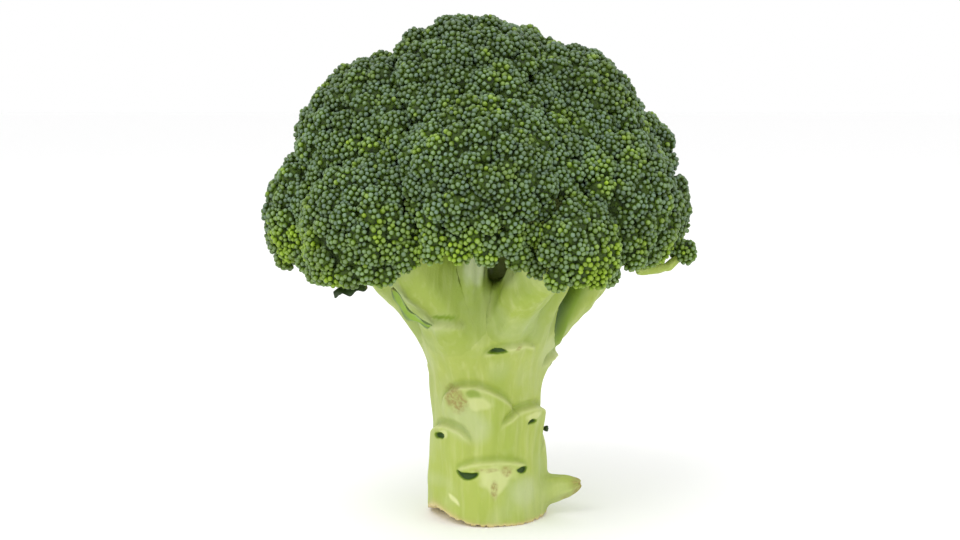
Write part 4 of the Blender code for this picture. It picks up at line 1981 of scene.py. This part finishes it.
@dataclass
class SideBud:
    """The tiny dark bud on the stalk's side, a cluster of scales round a tip."""

    name: str = "side_bud"
    scales: int = 7
    lean: float = 0.45

    def build(self) -> Skin:
        """Sets scales round a middle one, each leaning outwards.

        Returns:
            The scales as one skin.
        """
        low, high = (np.array(corner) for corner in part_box(self.name))
        middle, half = (low + high) / 2, (high - low).min() / 2
        outward = unit(middle * LEVEL)
        turn = turns_round(self.scales)
        frame_rows = frames_about(outward[None], np.zeros(1))[0]
        spread = np.where(np.arange(self.scales) == 0, 0.0, self.lean)
        axes = unit(
            frame_rows[2]
            + spread[:, None] * (np.cos(turn)[:, None] * frame_rows[0]
                                 + np.sin(turn)[:, None] * frame_rows[1])
        )
        centres = middle + (axes - outward) * half * 0.9
        sizes = np.tile([half * 0.5, half * 0.5, half * 0.9], (self.scales, 1))
        values = {"tone": np.linspace(0.0, 0.5, self.scales), "warm": np.zeros(self.scales)}
        return Bead(10, 6, 0.05, 0.9).repeat(centres, frames_about(axes, turn), sizes, values)


# ---------------------------------------------------------------- the studio


@dataclass(frozen=True)
class Lamp:
    """A soft square light that faces the head."""

    name: str
    azimuth: float
    elevation: float
    distance: float
    size: float
    power: float
    aim_height: float = 0.09

    def build(self) -> None:
        """Adds the light."""
        lamp = bpy.data.lights.new(self.name, "AREA")
        lamp.shape = "SQUARE"
        lamp.size = self.size
        lamp.energy = self.power
        obj = shown(self.name, lamp)
        offset = bearing(self.azimuth, self.elevation) * self.distance
        stand_off(obj, Vector((0, 0, self.aim_height)), offset)


LAMPS = (
    Lamp("key", 235, 52, 1.3, 0.9, 7.0),
    Lamp("fill", 320, 28, 1.6, 1.6, 1.5),
    Lamp("back", 80, 50, 1.5, 1.4, 2.2),
)


@dataclass(frozen=True)
class Studio:
    """The floor, the sky and the camera, with the lamps round them."""

    distance: float = 0.584
    elevation: float = 7.0
    lens: float = 60.2
    floor_half: float = 6.0
    aim_right: float = 0.0004
    aim_down: float = 0.0016

    def build(self, finish: bpy.types.Material) -> None:
        """Makes the floor, the lights, the sky and the camera.

        Args:
            finish: the floor's finish.
        """
        half = self.floor_half
        corners = np.array([[-half, -half, 0], [half, -half, 0], [half, half, 0], [-half, half, 0]])
        mesh = bpy.data.meshes.new("floor")
        mesh.from_pydata(corners.tolist(), [], [(0, 1, 2, 3)])
        mesh.materials.append(finish)
        floor = shown("floor", mesh)
        for lamp in LAMPS:
            lamp.build()
        world = bpy.data.worlds.new("sky")
        world.use_nodes = True
        world.node_tree.nodes["Background"].inputs[0].default_value = (1, 1, 1, 1)
        world.node_tree.nodes["Background"].inputs[1].default_value = 1.0
        bpy.context.scene.world = world
        bpy.context.scene.view_settings.view_transform = "Standard"
        self.camera()

    def camera(self) -> None:
        """Adds the camera, in front of the middle of the CAD box."""
        middle = (CAD_LOW + CAD_HIGH) / 2
        aim = Vector((middle.x + self.aim_right, 0, middle.z - self.aim_down))
        data = bpy.data.cameras.new("camera")
        data.lens = self.lens
        data.clip_start = 0.01
        obj = shown("camera", data)
        stand_off(obj, aim, bearing(270, self.elevation) * self.distance)
        bpy.context.scene.camera = obj


def grow_stems(nodes: list[str], crown: Crown, skin: bpy.types.Material) -> Growth:
    """Makes the stalk, the stems, the broken leaf and the twigs under the heads.

    Args:
        nodes: the CAD nodes' names.
        crown: the crown they carry.
        skin: their finish.

    Returns:
        The body that they share.
    """
    heights, profile = stalk_profile()
    lines = {name: StemLine.read(name) for name in nodes if name.startswith("stem_")}
    for name, line in lines.items():
        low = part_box(name)[0].z
        if low < RIM_STEMS_BELOW:
            lines[name] = line.rooted(float(np.interp(low, heights, profile)))
        if name in STEM_BENDS:
            lines[name] = lines[name].bent(*STEM_BENDS[name])
    stub = StemLine.read("leaf_stub", slices=7, root=-0.8)
    lines["leaf_stub"] = stub.finger(count=28, droop=0.0022, shorter=0.10)
    growth = Growth(heights, profile, lines)
    stalk = Stalk(growth).build().to_object("stalk_skin", skin, Slot.STEM)
    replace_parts(stalk, "stalk")
    for number, (name, line) in enumerate(lines.items()):
        stem = Stem(line, growth, number + 1, green=CREASE_SHADE.get(name, CREASE_SHADE_ELSEWHERE))
        if name == "leaf_stub":
            stem = Stem(line, growth, number + 1, dry_tip=0.9)
        piece = stem.build().to_object(f"{name}_skin", skin, Slot.STEM)
        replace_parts(piece, name)
    sprig = StemLine.read("sprig_stem", slices=7, root=-0.2)
    sprig.centres[-1] = CadShape.read("sprig_head").centroid()
    sprig.radii[-2:] *= 0.8
    alone = Growth(heights, profile, {"sprig_stem": sprig})
    piece = Stem(sprig, alone, seed=30, rows=30, columns=20, flute=0.0002).build()
    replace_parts(piece.to_object("sprig_stem_skin", skin, Slot.STEM), "sprig_stem")
    for head in crown.heads:
        twigs = Twigs(head, lines[head.name.replace("head_", "stem_")]).build()
        if twigs is not None:
            twigs.to_object(f"{head.name}_twigs", skin, Slot.STEM)
    return growth


def grow_small_parts(growth: Growth, buds: bpy.types.Material, core: bpy.types.Material) -> None:
    """Makes the hanging sprig's buds, both small leaves and the side bud.

    Args:
        growth: the stalk and stems, for the leaf that lies on them.
        buds: the buds' finish.
        core: the finish of the mass behind them, its dark green painted shade.
    """
    centre = CadShape.read("sprig_head").centroid()
    sprig = BudHead(SPRIG_BUDS, centre, 77, "sprig_head")
    (skin,) = sprig.buds(np.zeros((0, 3)), np.zeros(0))
    piece = skin.to_object("sprig_buds", buds, Slot.BUDS)
    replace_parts(piece, "sprig_head")
    joined([sprig.core(), sprig.balls()]).to_object("sprig_core", core, Slot.BUDS)
    leaf = LeafFinish().make("leaf")
    ends = (growth.skin_at(*CROTCH_LEAF_FOOT), growth.skin_at(*CROTCH_LEAF_TIP))
    piece = replace(CROTCH_LEAF, ends=ends).build()
    piece = piece.to_object("crotch_leaf_blade", leaf, Slot.LEAF)
    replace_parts(piece, "crotch_leaf")
    dark = LeafFinish((46, 66, 30), (74, 98, 36)).make("dark_leaf")
    piece = RIM_LEAF.build().to_object("rim_leaf_blade", dark, Slot.LEAF)
    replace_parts(piece, "rim_leaf")
    # The scales' dark foot is painted shade, as on the buds.
    scales = BudFinish(tip=(60, 84, 48), side=(36, 58, 12), foot=(18, 30, 4)).make("side_bud")
    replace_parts(SideBud().build().to_object("side_bud_scales", scales, Slot.LEAF), "side_bud")


def main() -> None:
    """Builds the head of broccoli and its studio."""
    logging.basicConfig(level=logging.INFO, format="%(message)s")
    nodes = sorted(frame["nodes"])
    bud_finish, core_shade_finish = BudFinish().make("buds"), CoreShadeFinish().make("bud_core")
    crown = Crown(BudSizes(), [name for name in nodes if name.startswith("head_")])
    crown.build()
    crown.dress(bud_finish, core_shade_finish)
    growth = grow_stems(nodes, crown, StemFinish().make("stem"))
    grow_small_parts(growth, bud_finish, core_shade_finish)
    Studio().build(FloorFinish().make("floor"))


if __name__ == "__main__":
    main()
